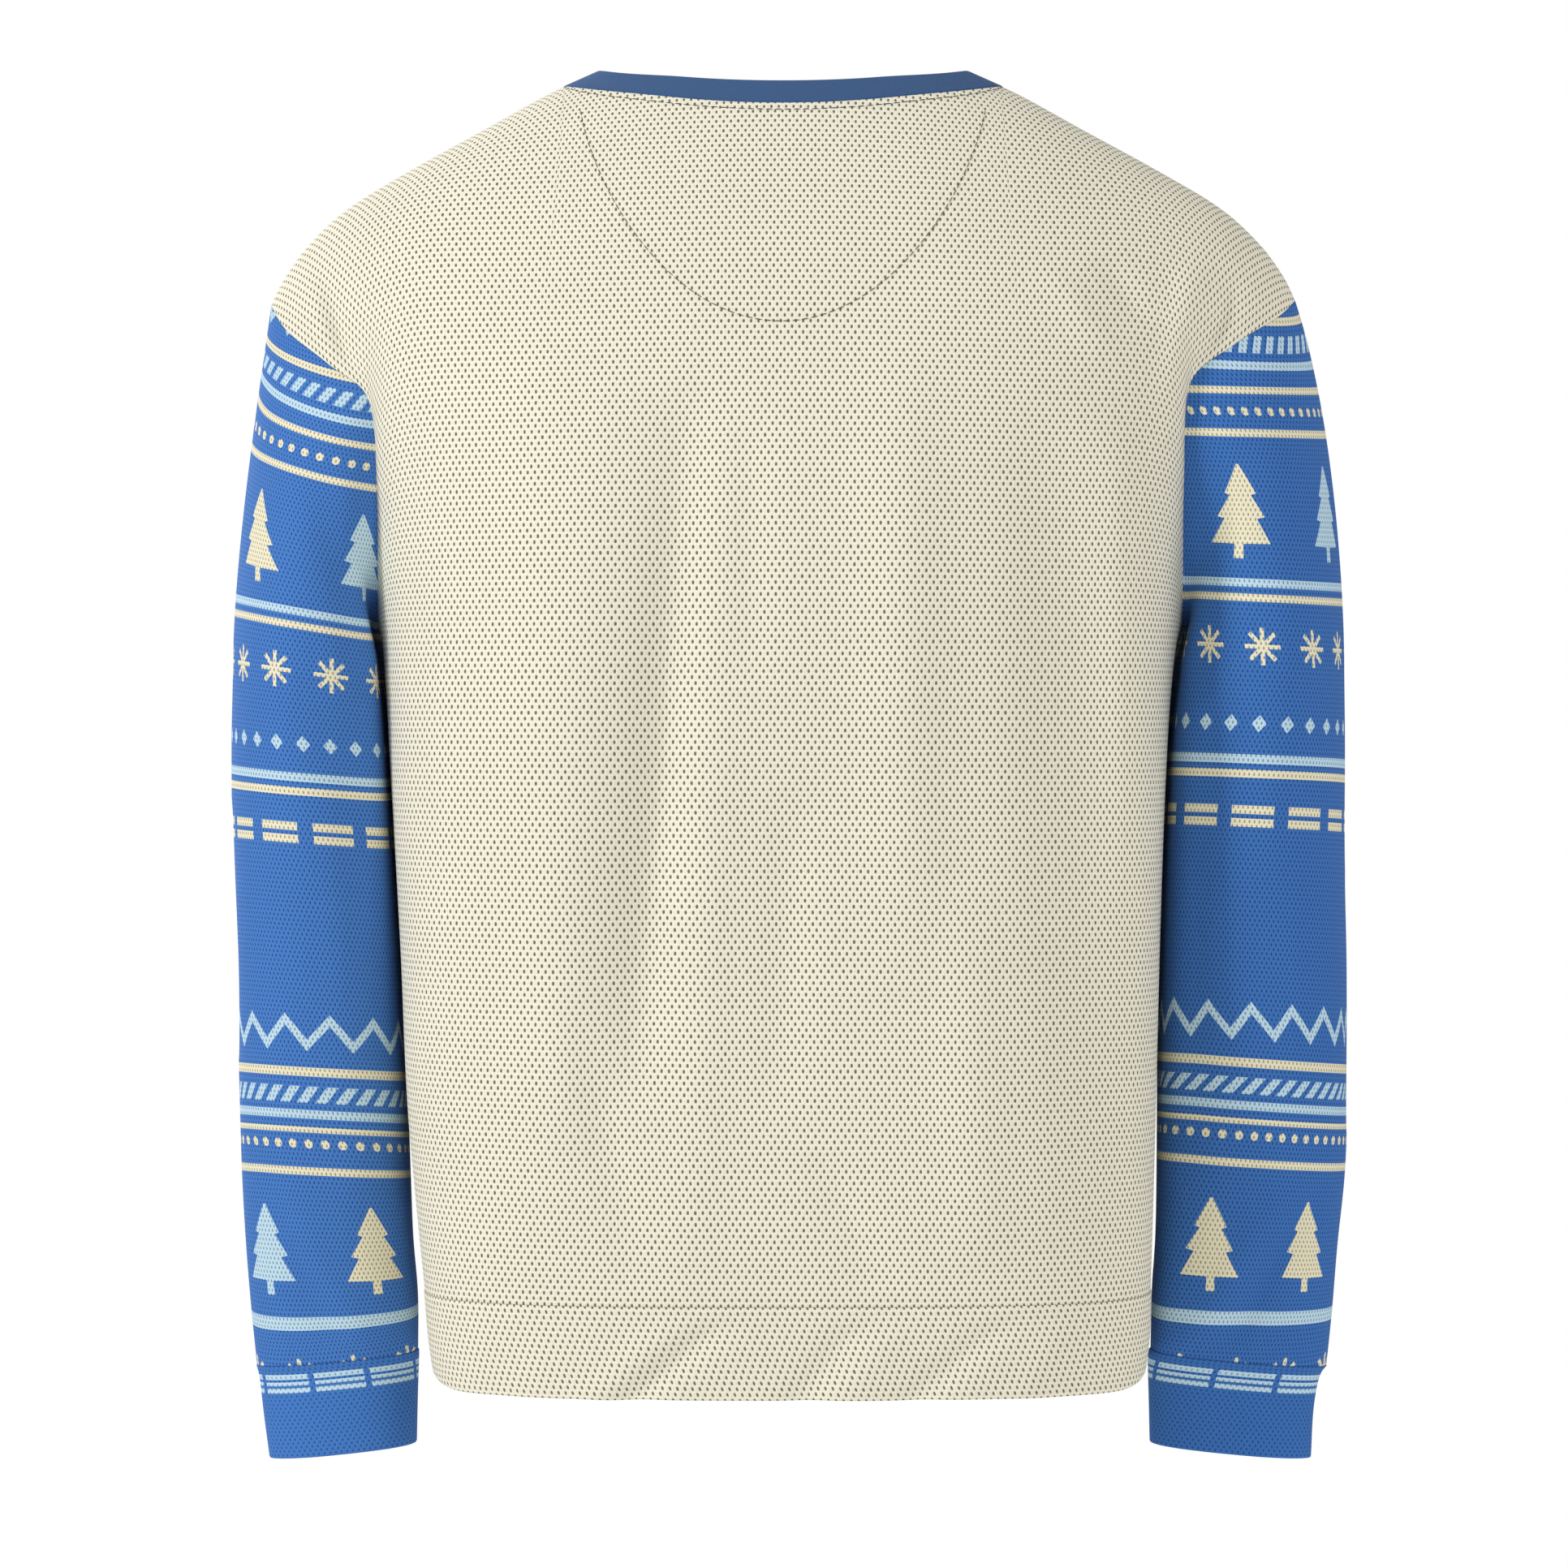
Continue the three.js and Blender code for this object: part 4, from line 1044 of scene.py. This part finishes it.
# %% Where the stitches run
NECK_LINE = 4.5                # millimetres below the neck seam
ON_CLOTH = FLEECE / 2 + 0.05   # from the middle of the fleece to just outside it
PAST_NECK = 0.012              # how far a line goes on past the neck, as a share


def below_seam(name, columns):
    """A line on the outside of a panel, NECK_LINE below its top edge."""
    grid = plan[name][0][::-1, columns]
    out = normals[name][::-1, columns]
    down = np.cumsum(np.linalg.norm(np.diff(grid, axis=0), axis=-1), axis=0)
    at = (down < NECK_LINE).sum(axis=0).astype(float)
    column = np.arange(len(columns))
    before = np.where(at > 0, down[np.maximum(at.astype(int) - 1, 0), column], 0)
    at += (NECK_LINE - before) / (down[at.astype(int), column] - before)
    line, up = on_grid(grid, at, column), on_grid(out, at, column)
    return line + up * ON_CLOTH, up


past_neck = np.flatnonzero(np.abs(SIDES) <= NECK_SHARE + PAST_NECK)
patch_edge = on_grid(plan["back_panel"][0], patch_at[0], patch_columns)
patch_edge_out = on_grid(normals["back_panel"], patch_at[0], patch_columns)
stitching = {
    "stitches_neck_back": below_seam("back_panel", past_neck),
    "stitches_neck_front": below_seam("front_panel", past_neck),
    "stitches_patch": (patch_edge + patch_edge_out * ON_CLOTH, patch_edge_out),
}
for name, (path, out) in stitching.items():
    pieces[name] = stitch_line(name, path, out)
    print(name, "has", len(pieces[name].data.polygons), "faces")

# %% [markdown]
# ## Arithmetic in a material
# The knit and the print are formulas of where a point lies in the flat cloth. A Math node does
# one step of arithmetic, so a small class lets such a formula be written as arithmetic: every
# +, -, * and / on a Number adds a node, and `then` takes any other operation by its name.


# %% A number in a node tree
class Number:
    """A number that a node tree works out."""

    def __init__(self, tree, socket):
        self.tree, self.socket = tree, socket

    def then(self, operation, *others, clamp=False):
        """This number, and up to two others, through one operation."""
        terms = [term.socket if isinstance(term, Number) else term for term in (self, *others)]
        node = add_node(self.tree, "ShaderNodeMath", enumerate(terms),
                        operation=operation, use_clamp=clamp)
        return Number(self.tree, node.outputs[0])

    def __add__(self, other):
        return self.then("ADD", other)

    def __sub__(self, other):
        return self.then("SUBTRACT", other)

    def __mul__(self, other):
        return self.then("MULTIPLY", other)

    def __truediv__(self, other):
        return self.then("DIVIDE", other)

    def __abs__(self):
        return self.then("ABSOLUTE")


SOFT = 0.4                     # how soft a printed edge is, in millimetres


def within(distance, half):
    """1 where a distance is less than `half`, 0 where it is more, over a soft edge."""
    return (distance - half).then("MULTIPLY_ADD", -1 / SOFT, 0.5, clamp=True)


def flat_place(tree):
    """Across and down in the flat cloth, in millimetres."""
    layer = add_node(tree, "ShaderNodeUVMap", uv_map="flat cloth")
    place_parts = add_node(tree, "ShaderNodeSeparateXYZ", {0: layer.outputs["UV"]})
    return [Number(tree, place_parts.outputs[i]) / MM for i in (0, 1)]


def mix(tree, share, low, high):
    """A colour between `low` and `high`, by a Number from 0 to 1."""
    return add_node(tree, "ShaderNodeMix", {0: share.socket, 6: low, 7: high},
                    data_type="RGBA").outputs[2]


def any_of(first, *others):
    """The greatest of several masks."""
    for mask in others:
        first = first.then("MAXIMUM", mask)
    return first


def all_of(first, other):
    """The lesser of two masks."""
    return first.then("MINIMUM", other)


def knit_wave(u, v, stitch, row):
    """cos(2 pi u / stitch) * cos(pi v / row): 1 in the holes of the knit, which lie half a stitch
    further across in every other row, and -1 on the loops between them."""
    return (u * (2 * math.pi / stitch)).then("COSINE") * (v * (math.pi / row)).then("COSINE")


# %% [markdown]
# ## Fleece
# Sweatshirt fleece is a polyester and cotton knit: matt, with a faint nap that catches light at
# grazing angles, so it gets a high roughness, little specular reflection and some sheen. A fine
# noise stands for the nap, and a broad one for the uneven dye of any printed cloth.


# %% A finish for cloth
BROAD_SHADE, FINE_SHADE = 0.05, 0.07   # how much each noise lightens the dye
DARKEST = 0.94                 # share of the dye's colour where both are 0


def fleece_finish(name, colour_of, nap=0.05, roughness=0.92, sheen=0.04):
    """A matt cloth. `colour_of(tree)` gives its colour and its relief, in millimetres."""
    paint = bpy.data.materials.new(name)
    paint.use_nodes = True
    tree = paint.node_tree
    shader = tree.nodes["Principled BSDF"]
    colour, relief = colour_of(tree)
    where = add_node(tree, "ShaderNodeTexCoord").outputs["Object"]
    broad = add_node(tree, "ShaderNodeTexNoise", {"Vector": where, "Scale": 22.0, "Detail": 3.0})
    fine = add_node(tree, "ShaderNodeTexNoise", {"Vector": where, "Scale": 1400.0, "Detail": 2.0})
    nap_noise = Number(tree, fine.outputs["Fac"])
    uneven = Number(tree, broad.outputs["Fac"]) * BROAD_SHADE + nap_noise * FINE_SHADE
    shade = add_node(tree, "ShaderNodeVectorMath", {0: colour, 1: (uneven + DARKEST).socket},
                     operation="MULTIPLY")
    height = relief + nap_noise * nap
    bump = add_node(tree, "ShaderNodeBump", {"Height": height.socket, "Distance": MM})
    tree.links.new(shade.outputs[0], shader.inputs["Base Color"])
    tree.links.new(bump.outputs[0], shader.inputs["Normal"])
    shader.inputs["Roughness"].default_value = roughness
    shader.inputs["Specular IOR Level"].default_value = 0.12
    shader.inputs["Sheen Weight"].default_value = sheen
    shader.inputs["Sheen Roughness"].default_value = 0.5
    return paint


# %% [markdown]
# ## Cream body cloth
# The cream cloth looks like a knit of two yarns: an olive-grey one shows as small uneven
# diamonds, 3.8 mm apart in rows 3 mm apart, on a cream one. Along each row a thin tan shade joins
# them.

# %% Cream body cloth
CREAM_STITCH, CREAM_ROW = 3.82, 3.03


def cream_cloth(tree):
    """Cream, with tan between the holes of each row and olive grey in the holes."""
    u, v = flat_place(tree)
    wave = knit_wave(u, v, CREAM_STITCH, CREAM_ROW)
    where = add_node(tree, "ShaderNodeUVMap", uv_map="flat cloth").outputs["UV"]
    patchy = add_node(tree, "ShaderNodeTexNoise", {"Vector": where, "Scale": 380.0, "Detail": 1.0})
    uneven = (Number(tree, patchy.outputs["Fac"]) - 0.5) * 0.9
    hole = (wave + uneven * 0.5 - 0.3).then("MULTIPLY", 2.6, clamp=True)
    between = (wave * -1 - 0.45).then("MULTIPLY", 1.6, clamp=True)
    tan = mix(tree, between * 0.45, linear("#f5f0dc"), linear("#e6dcc4"))
    return mix(tree, hole, tan, linear("#776f5d")), wave * -0.12


cream_fleece = fleece_finish("cream printed knit fleece", cream_cloth)

# %% [markdown]
# ## The winter print of the sleeves
# Down each sleeve the print runs through lines, slanted dashes, dots, trees, eight-armed
# snowflakes, diamonds, double dashes and a zigzag, and then begins again. A row of motifs
# repeats across the cloth. For each motif, `across` is the distance from its own middle and
# `down` from its row's, and a mask of those two numbers draws it. The cloth is eased into the
# armhole and bunches a little towards the cuff, so each sleeve has its own pitch for each row,
# and a narrow pitch makes narrow motifs.

# %% The chart of the print
CREAM_DYE, LIGHT_DYE = "#f0e9cb", "#c2e0f2"
PRINT_LINES = [                # middle and half thickness down the print, and the dye
    (0, 2.15, CREAM_DYE), (22.5, 2.25, LIGHT_DYE), (35.9, 1.95, CREAM_DYE),
    (58.8, 2.1, CREAM_DYE), (138.4, 2.2, LIGHT_DYE), (146.2, 1.95, CREAM_DYE),
    (231.9, 2.4, LIGHT_DYE), (239.7, 2.1, CREAM_DYE), (393.7, 2.4, CREAM_DYE),
    (416.2, 2.25, LIGHT_DYE), (424.4, 1.45, CREAM_DYE), (446.4, 2.1, CREAM_DYE),
    (530.4, 3.9, LIGHT_DYE)]
SECOND_REPEAT = 330.0          # where the print begins again
ZIGZAG_REPEAT = 100.0          # where the zigzag, which is above the first line, does so
MOTIF_ROWS = {                 # usual pitch, and the rows' middles in the first and second repeat
    "slants": (10.0, 11.7, 405.8), "dots": (9.4, 47.2, 431.9), "trees": (64.0, 100.8, 490.2),
    "flakes": (29.5, 171.7, 562.2), "diamonds": (14.3, 212.8, 212.8),
    "dashes": (28.8, 262.2, 262.2), "zigzag": (23.3, -22.1, 371.6)}
# For each sleeve: pitch and place of one motif, in the first repeat and then in the second;
# which tree in three is light blue; how far the slanted dashes lean; and the blue ground. On the
# right sleeve the ground is the same blue painted darker, as painted shade for the sleeve that
# lies away from the key light.
left_chart = {
    "slants": (9.95, 79.6, 10.25, 81.0), "dots": (9.25, 86.0, 9.15, 77.0),
    "trees": (67.0, 66.8, 64.2, 41.9), "flakes": (29.7, 82.2, 33.3, 85.0),
    "diamonds": (13.8, 81.2, 13.8, 81.2), "dashes": (28.9, 77.4, 28.9, 77.4),
    "zigzag": (24.2, 70.4, 24.2, 70.4), "ground_and_painted_shade": "#497eca", "light": (1, 0), "lean": (0.5, 0.85)}
# The right sleeve's ground is the left sleeve's blue, darkened as painted shade.
right_chart = {
    "slants": (7.3, 69.2, 9.5, 92.2), "dots": (7.35, 83.7, 8.2, 82.5),
    "trees": (63.0, 47.9, 61.4, 58.4), "flakes": (29.2, 102.3, 34.0, 97.8),
    "diamonds": (14.4, 102.9, 14.4, 102.9), "dashes": (29.3, 101.6, 29.3, 101.6),
    "zigzag": (22.0, 101.0, 22.0, 101.0), "ground_and_painted_shade": "#4175bf", "light": (0, 2),
    "lean": (-0.8, -0.9)}
ZIGZAG_HALF = 7.2              # half the height of its middle line
TREE_HALF_HEIGHT = 24.7
TREE_WIDEST = 20.0             # what the ramp's full white stands for
TREE_OUTLINE = [               # share of the height, half the width
    (0.0, 0.6), (0.31, 8.6), (0.33, 5.8), (0.56, 13.0), (0.58, 8.8), (0.84, 16.4), (0.845, 2.3),
    (1.0, 2.6)]

# %% Blue sleeve cloth
BLUE_STITCH, BLUE_ROW = 2.45, 2.5


def tree_half(tree, share):
    """Half the width of a tree at a share of its height, from a Color Ramp."""
    outline = add_node(tree, "ShaderNodeValToRGB", {0: share.socket})
    elements = outline.color_ramp.elements
    while len(elements) < len(TREE_OUTLINE):
        elements.new(0.5)
    for element, (position, half) in zip(elements, TREE_OUTLINE):
        element.position, element.color = position, (half / TREE_WIDEST,) * 3 + (1,)
    return Number(tree, outline.outputs["Color"]) * TREE_WIDEST


def in_holes(tree, colour, wave, depth):
    """A colour, darkened in the holes of the knit."""
    hole = (wave - 0.28).then("MULTIPLY", 2.2, clamp=True)
    return add_node(tree, "ShaderNodeVectorMath", {0: colour, 1: (hole * -depth + 1).socket},
                    operation="MULTIPLY").outputs[0]


def printed_cloth(chart):
    """The blue cloth with the motifs of one sleeve's chart."""
    def colour_of(tree):
        u, v = flat_place(tree)
        second = v.then("GREATER_THAN", SECOND_REPEAT)
        begun = v.then("GREATER_THAN", ZIGZAG_REPEAT)

        def row(kind, leans=(0, 0)):
            usual, first, again = MOTIF_ROWS[kind]
            pitch, at, pitch_again, at_again = chart[kind]
            which = begun if kind == "zigzag" else second
            down = v - (which * (again - first) + first)
            count = (u - (second * (at_again - at) + at)) / (second * (pitch_again - pitch) + pitch)
            count = count + down * (second * (leans[1] - leans[0]) + leans[0]) / usual
            return count.then("WRAP", 0.5, -0.5) * usual, down, count

        across, down, _ = row("slants", chart["lean"])
        slants = all_of(within(abs(across), 2.9), within(abs(down), 4.3))
        across, down, _ = row("dots")
        dots = within((across * across + down * down).then("SQRT"), 2.35)
        across, down, _ = row("diamonds")
        diamonds = within(abs(across) * 1.23 + abs(down), 4.6)
        across, down, _ = row("dashes")
        dashes = all_of(within(abs(across), 10.5), within(abs(abs(down) - 3.45), 2.2))

        across, down, _ = row("zigzag")
        middle = abs(across) * (4 * ZIGZAG_HALF / MOTIF_ROWS["zigzag"][0]) - ZIGZAG_HALF
        zigzag = within(abs(down - middle), 3.3)

        across, down, _ = row("flakes")
        across = across * 1.1
        reach = (across * across + down * down).then("SQRT")
        bearing = across.then("ARCTAN2", down).then("WRAP", math.pi / 8, -math.pi / 8)
        arm = all_of(within(abs(reach * bearing.then("SINE")), 1.15), within(reach, 9.9))
        flakes = any_of(arm, within(reach, 3.3))

        across, down, count = row("trees")
        half = tree_half(tree, down / (2 * TREE_HALF_HEIGHT) + 0.5)
        tree_shape = all_of(within(abs(across), half), within(abs(down), TREE_HALF_HEIGHT))
        first_light, light_again = chart["light"]
        turn_of = count.then("ROUND") - (second * (light_again - first_light) + first_light)
        light = within(abs(turn_of.then("WRAP", 1.5, -1.5)), 0.5)
        light_tree = tree_shape * light

        masks = {CREAM_DYE: [dots, dashes, flakes, tree_shape - light_tree],
                 LIGHT_DYE: [slants, diamonds, zigzag, light_tree]}
        for middle, half, dye in PRINT_LINES:
            masks[dye].append(within(abs(v - middle), half))
        colour = linear(chart["ground_and_painted_shade"])
        for dye in (LIGHT_DYE, CREAM_DYE):
            colour = mix(tree, any_of(*masks[dye]), colour, linear(dye))
        wave = knit_wave(u, v, BLUE_STITCH, BLUE_ROW)
        return in_holes(tree, colour, wave, 0.62), wave * -0.1
    return colour_of


left_fleece = fleece_finish("blue printed fleece of the left sleeve", printed_cloth(left_chart))
right_fleece = fleece_finish("blue printed fleece of the right sleeve", printed_cloth(right_chart))
print("the left sleeve's material has", len(left_fleece.node_tree.nodes), "nodes")

# %% [markdown]
# ## Cuffs
# The cuffs are the same blue cloth, folded double. Just under their seam, three thin light-blue
# lines run round, broken by a short gap about every 30 mm.

# %% Blue cuff cloth
CUFF_LINES = [(6.1, 1.4), (9.9, 0.95), (13.6, 1.25)]   # below the seam, half thickness
CUFF_GAP = 3.2                 # between two dashes of a line
CUFF_STITCH, CUFF_ROW = 3.0, 2.1


def cuff_cloth(gap_at, repeat, ground_and_painted_shade):
    """The blue cloth with three broken lines, whose gaps lie a repeat apart from `gap_at`."""
    def colour_of(tree):
        u, v = flat_place(tree)
        across = (u - (gap_at + repeat / 2)).then("WRAP", repeat / 2, -repeat / 2)
        lines = any_of(*[within(abs(v - middle), half) for middle, half in CUFF_LINES])
        lines = all_of(lines, within(abs(across), (repeat - CUFF_GAP) / 2))
        colour = mix(tree, lines, linear(ground_and_painted_shade), linear(LIGHT_DYE))
        wave = knit_wave(u, v, CUFF_STITCH, CUFF_ROW)
        return in_holes(tree, colour, wave, 0.5), wave * -0.1
    return colour_of


left_cuff_fleece = fleece_finish("blue fleece of the left cuff",
                                 cuff_cloth(42.4, 29.6, "#467cc8"))
# The right cuff's blue is the left cuff's, darkened as painted shade like the right sleeve's
# ground.
right_cuff_fleece = fleece_finish("blue fleece of the right cuff",
                                  cuff_cloth(36.5, 33.6, "#3f74be"))

# %% [markdown]
# ## Neck rib
# The neck band is a plain steel-blue rib. Its wales are 1 mm apart and run across the band, and
# they are drawn 1.6 mm apart so that they show.

# %% Steel-blue rib
RIB_WALE = 1.6


def rib_cloth(tree):
    """Steel blue, darker and lower between the wales."""
    u, _ = flat_place(tree)
    wale = (u * (2 * math.pi / RIB_WALE)).then("COSINE")
    shade = (wale + 1) * 0.045 + 0.91
    colour = add_node(tree, "ShaderNodeVectorMath", {0: linear("#3e6293")[:3], 1: shade.socket},
                      operation="MULTIPLY")
    return colour.outputs[0], wale * 0.12


steel_rib = fleece_finish("steel-blue cotton rib", rib_cloth, nap=0.04, sheen=0.1)

# %% [markdown]
# ## Thread
# The thread is spun polyester, dark grey, 0.4 mm thick and drawn a little thicker so that it
# shows. Its two plies twist round each other.


# %% Dark thread
def thread_dye(tree):
    """Dark grey with a fine twist."""
    where = add_node(tree, "ShaderNodeTexCoord").outputs["Object"]
    twist = add_node(tree, "ShaderNodeTexWave", {"Vector": where, "Scale": 900.0},
                     bands_direction="DIAGONAL")
    shade = Number(tree, twist.outputs["Fac"])
    return mix(tree, shade, linear("#3c4043"), linear("#5e6264")), shade * 0.05


dark_thread = fleece_finish("dark grey spun polyester thread", thread_dye, nap=0.01, sheen=0.05)

# %% Dress each piece
wearing = {
    "back_panel": (cream_fleece, "body_fleece"),
    "front_panel": (cream_fleece, "body_fleece"),
    "half_moon_patch": (cream_fleece, "body_fleece"),
    "waistband": (cream_fleece, "waistband_rib"),
    "sleeve_left": (left_fleece, "sleeve_fleece"),
    "sleeve_right": (right_fleece, "sleeve_fleece"),
    "cuff_left": (left_cuff_fleece, "cuff_rib"),
    "cuff_right": (right_cuff_fleece, "cuff_rib"),
    "neck_rib": (steel_rib, "neck_rib"),
    **{name: (dark_thread, "body_fleece") for name in stitching},
}
for name, (paint, slot) in wearing.items():
    thing = pieces[name]
    thing.data.materials.append(paint)
    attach(thing, "root")
    if name not in stitching:
        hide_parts(name)

# %% [markdown]
# ## The cut
# Each piece of cloth is cut flat before it is sewn: its width all round, its length, and its
# area, all without seam allowances. The bands are cut double and folded, and the size given
# here is that of the half that shows.

# %% Sheets
cut = {                        # width, length and area, in metres
    "back_panel": (0.608, 0.680, 0.335, ["stitches_neck_back", "stitches_patch"]),
    "front_panel": (0.615, 0.686, 0.329, ["stitches_neck_front"]),
    "sleeve_left": (0.410, 0.583, 0.1695, []),
    "sleeve_right": (0.418, 0.571, 0.1793, []),
    "cuff_left": (0.231, 0.050, 0.0115, []),
    "cuff_right": (0.245, 0.050, 0.0122, []),
    "waistband": (1.055, 0.0485, 0.0512, []),
    "neck_rib": (0.652, 0.020, 0.0130, []),
    "half_moon_patch": (0.219, 0.148, 0.0203, []),
}
for name, (width, length, area, beside) in cut.items():
    print(name, "flat", np.ptp(maps[name].reshape(-1, 2), axis=0).round(1), "area", area)
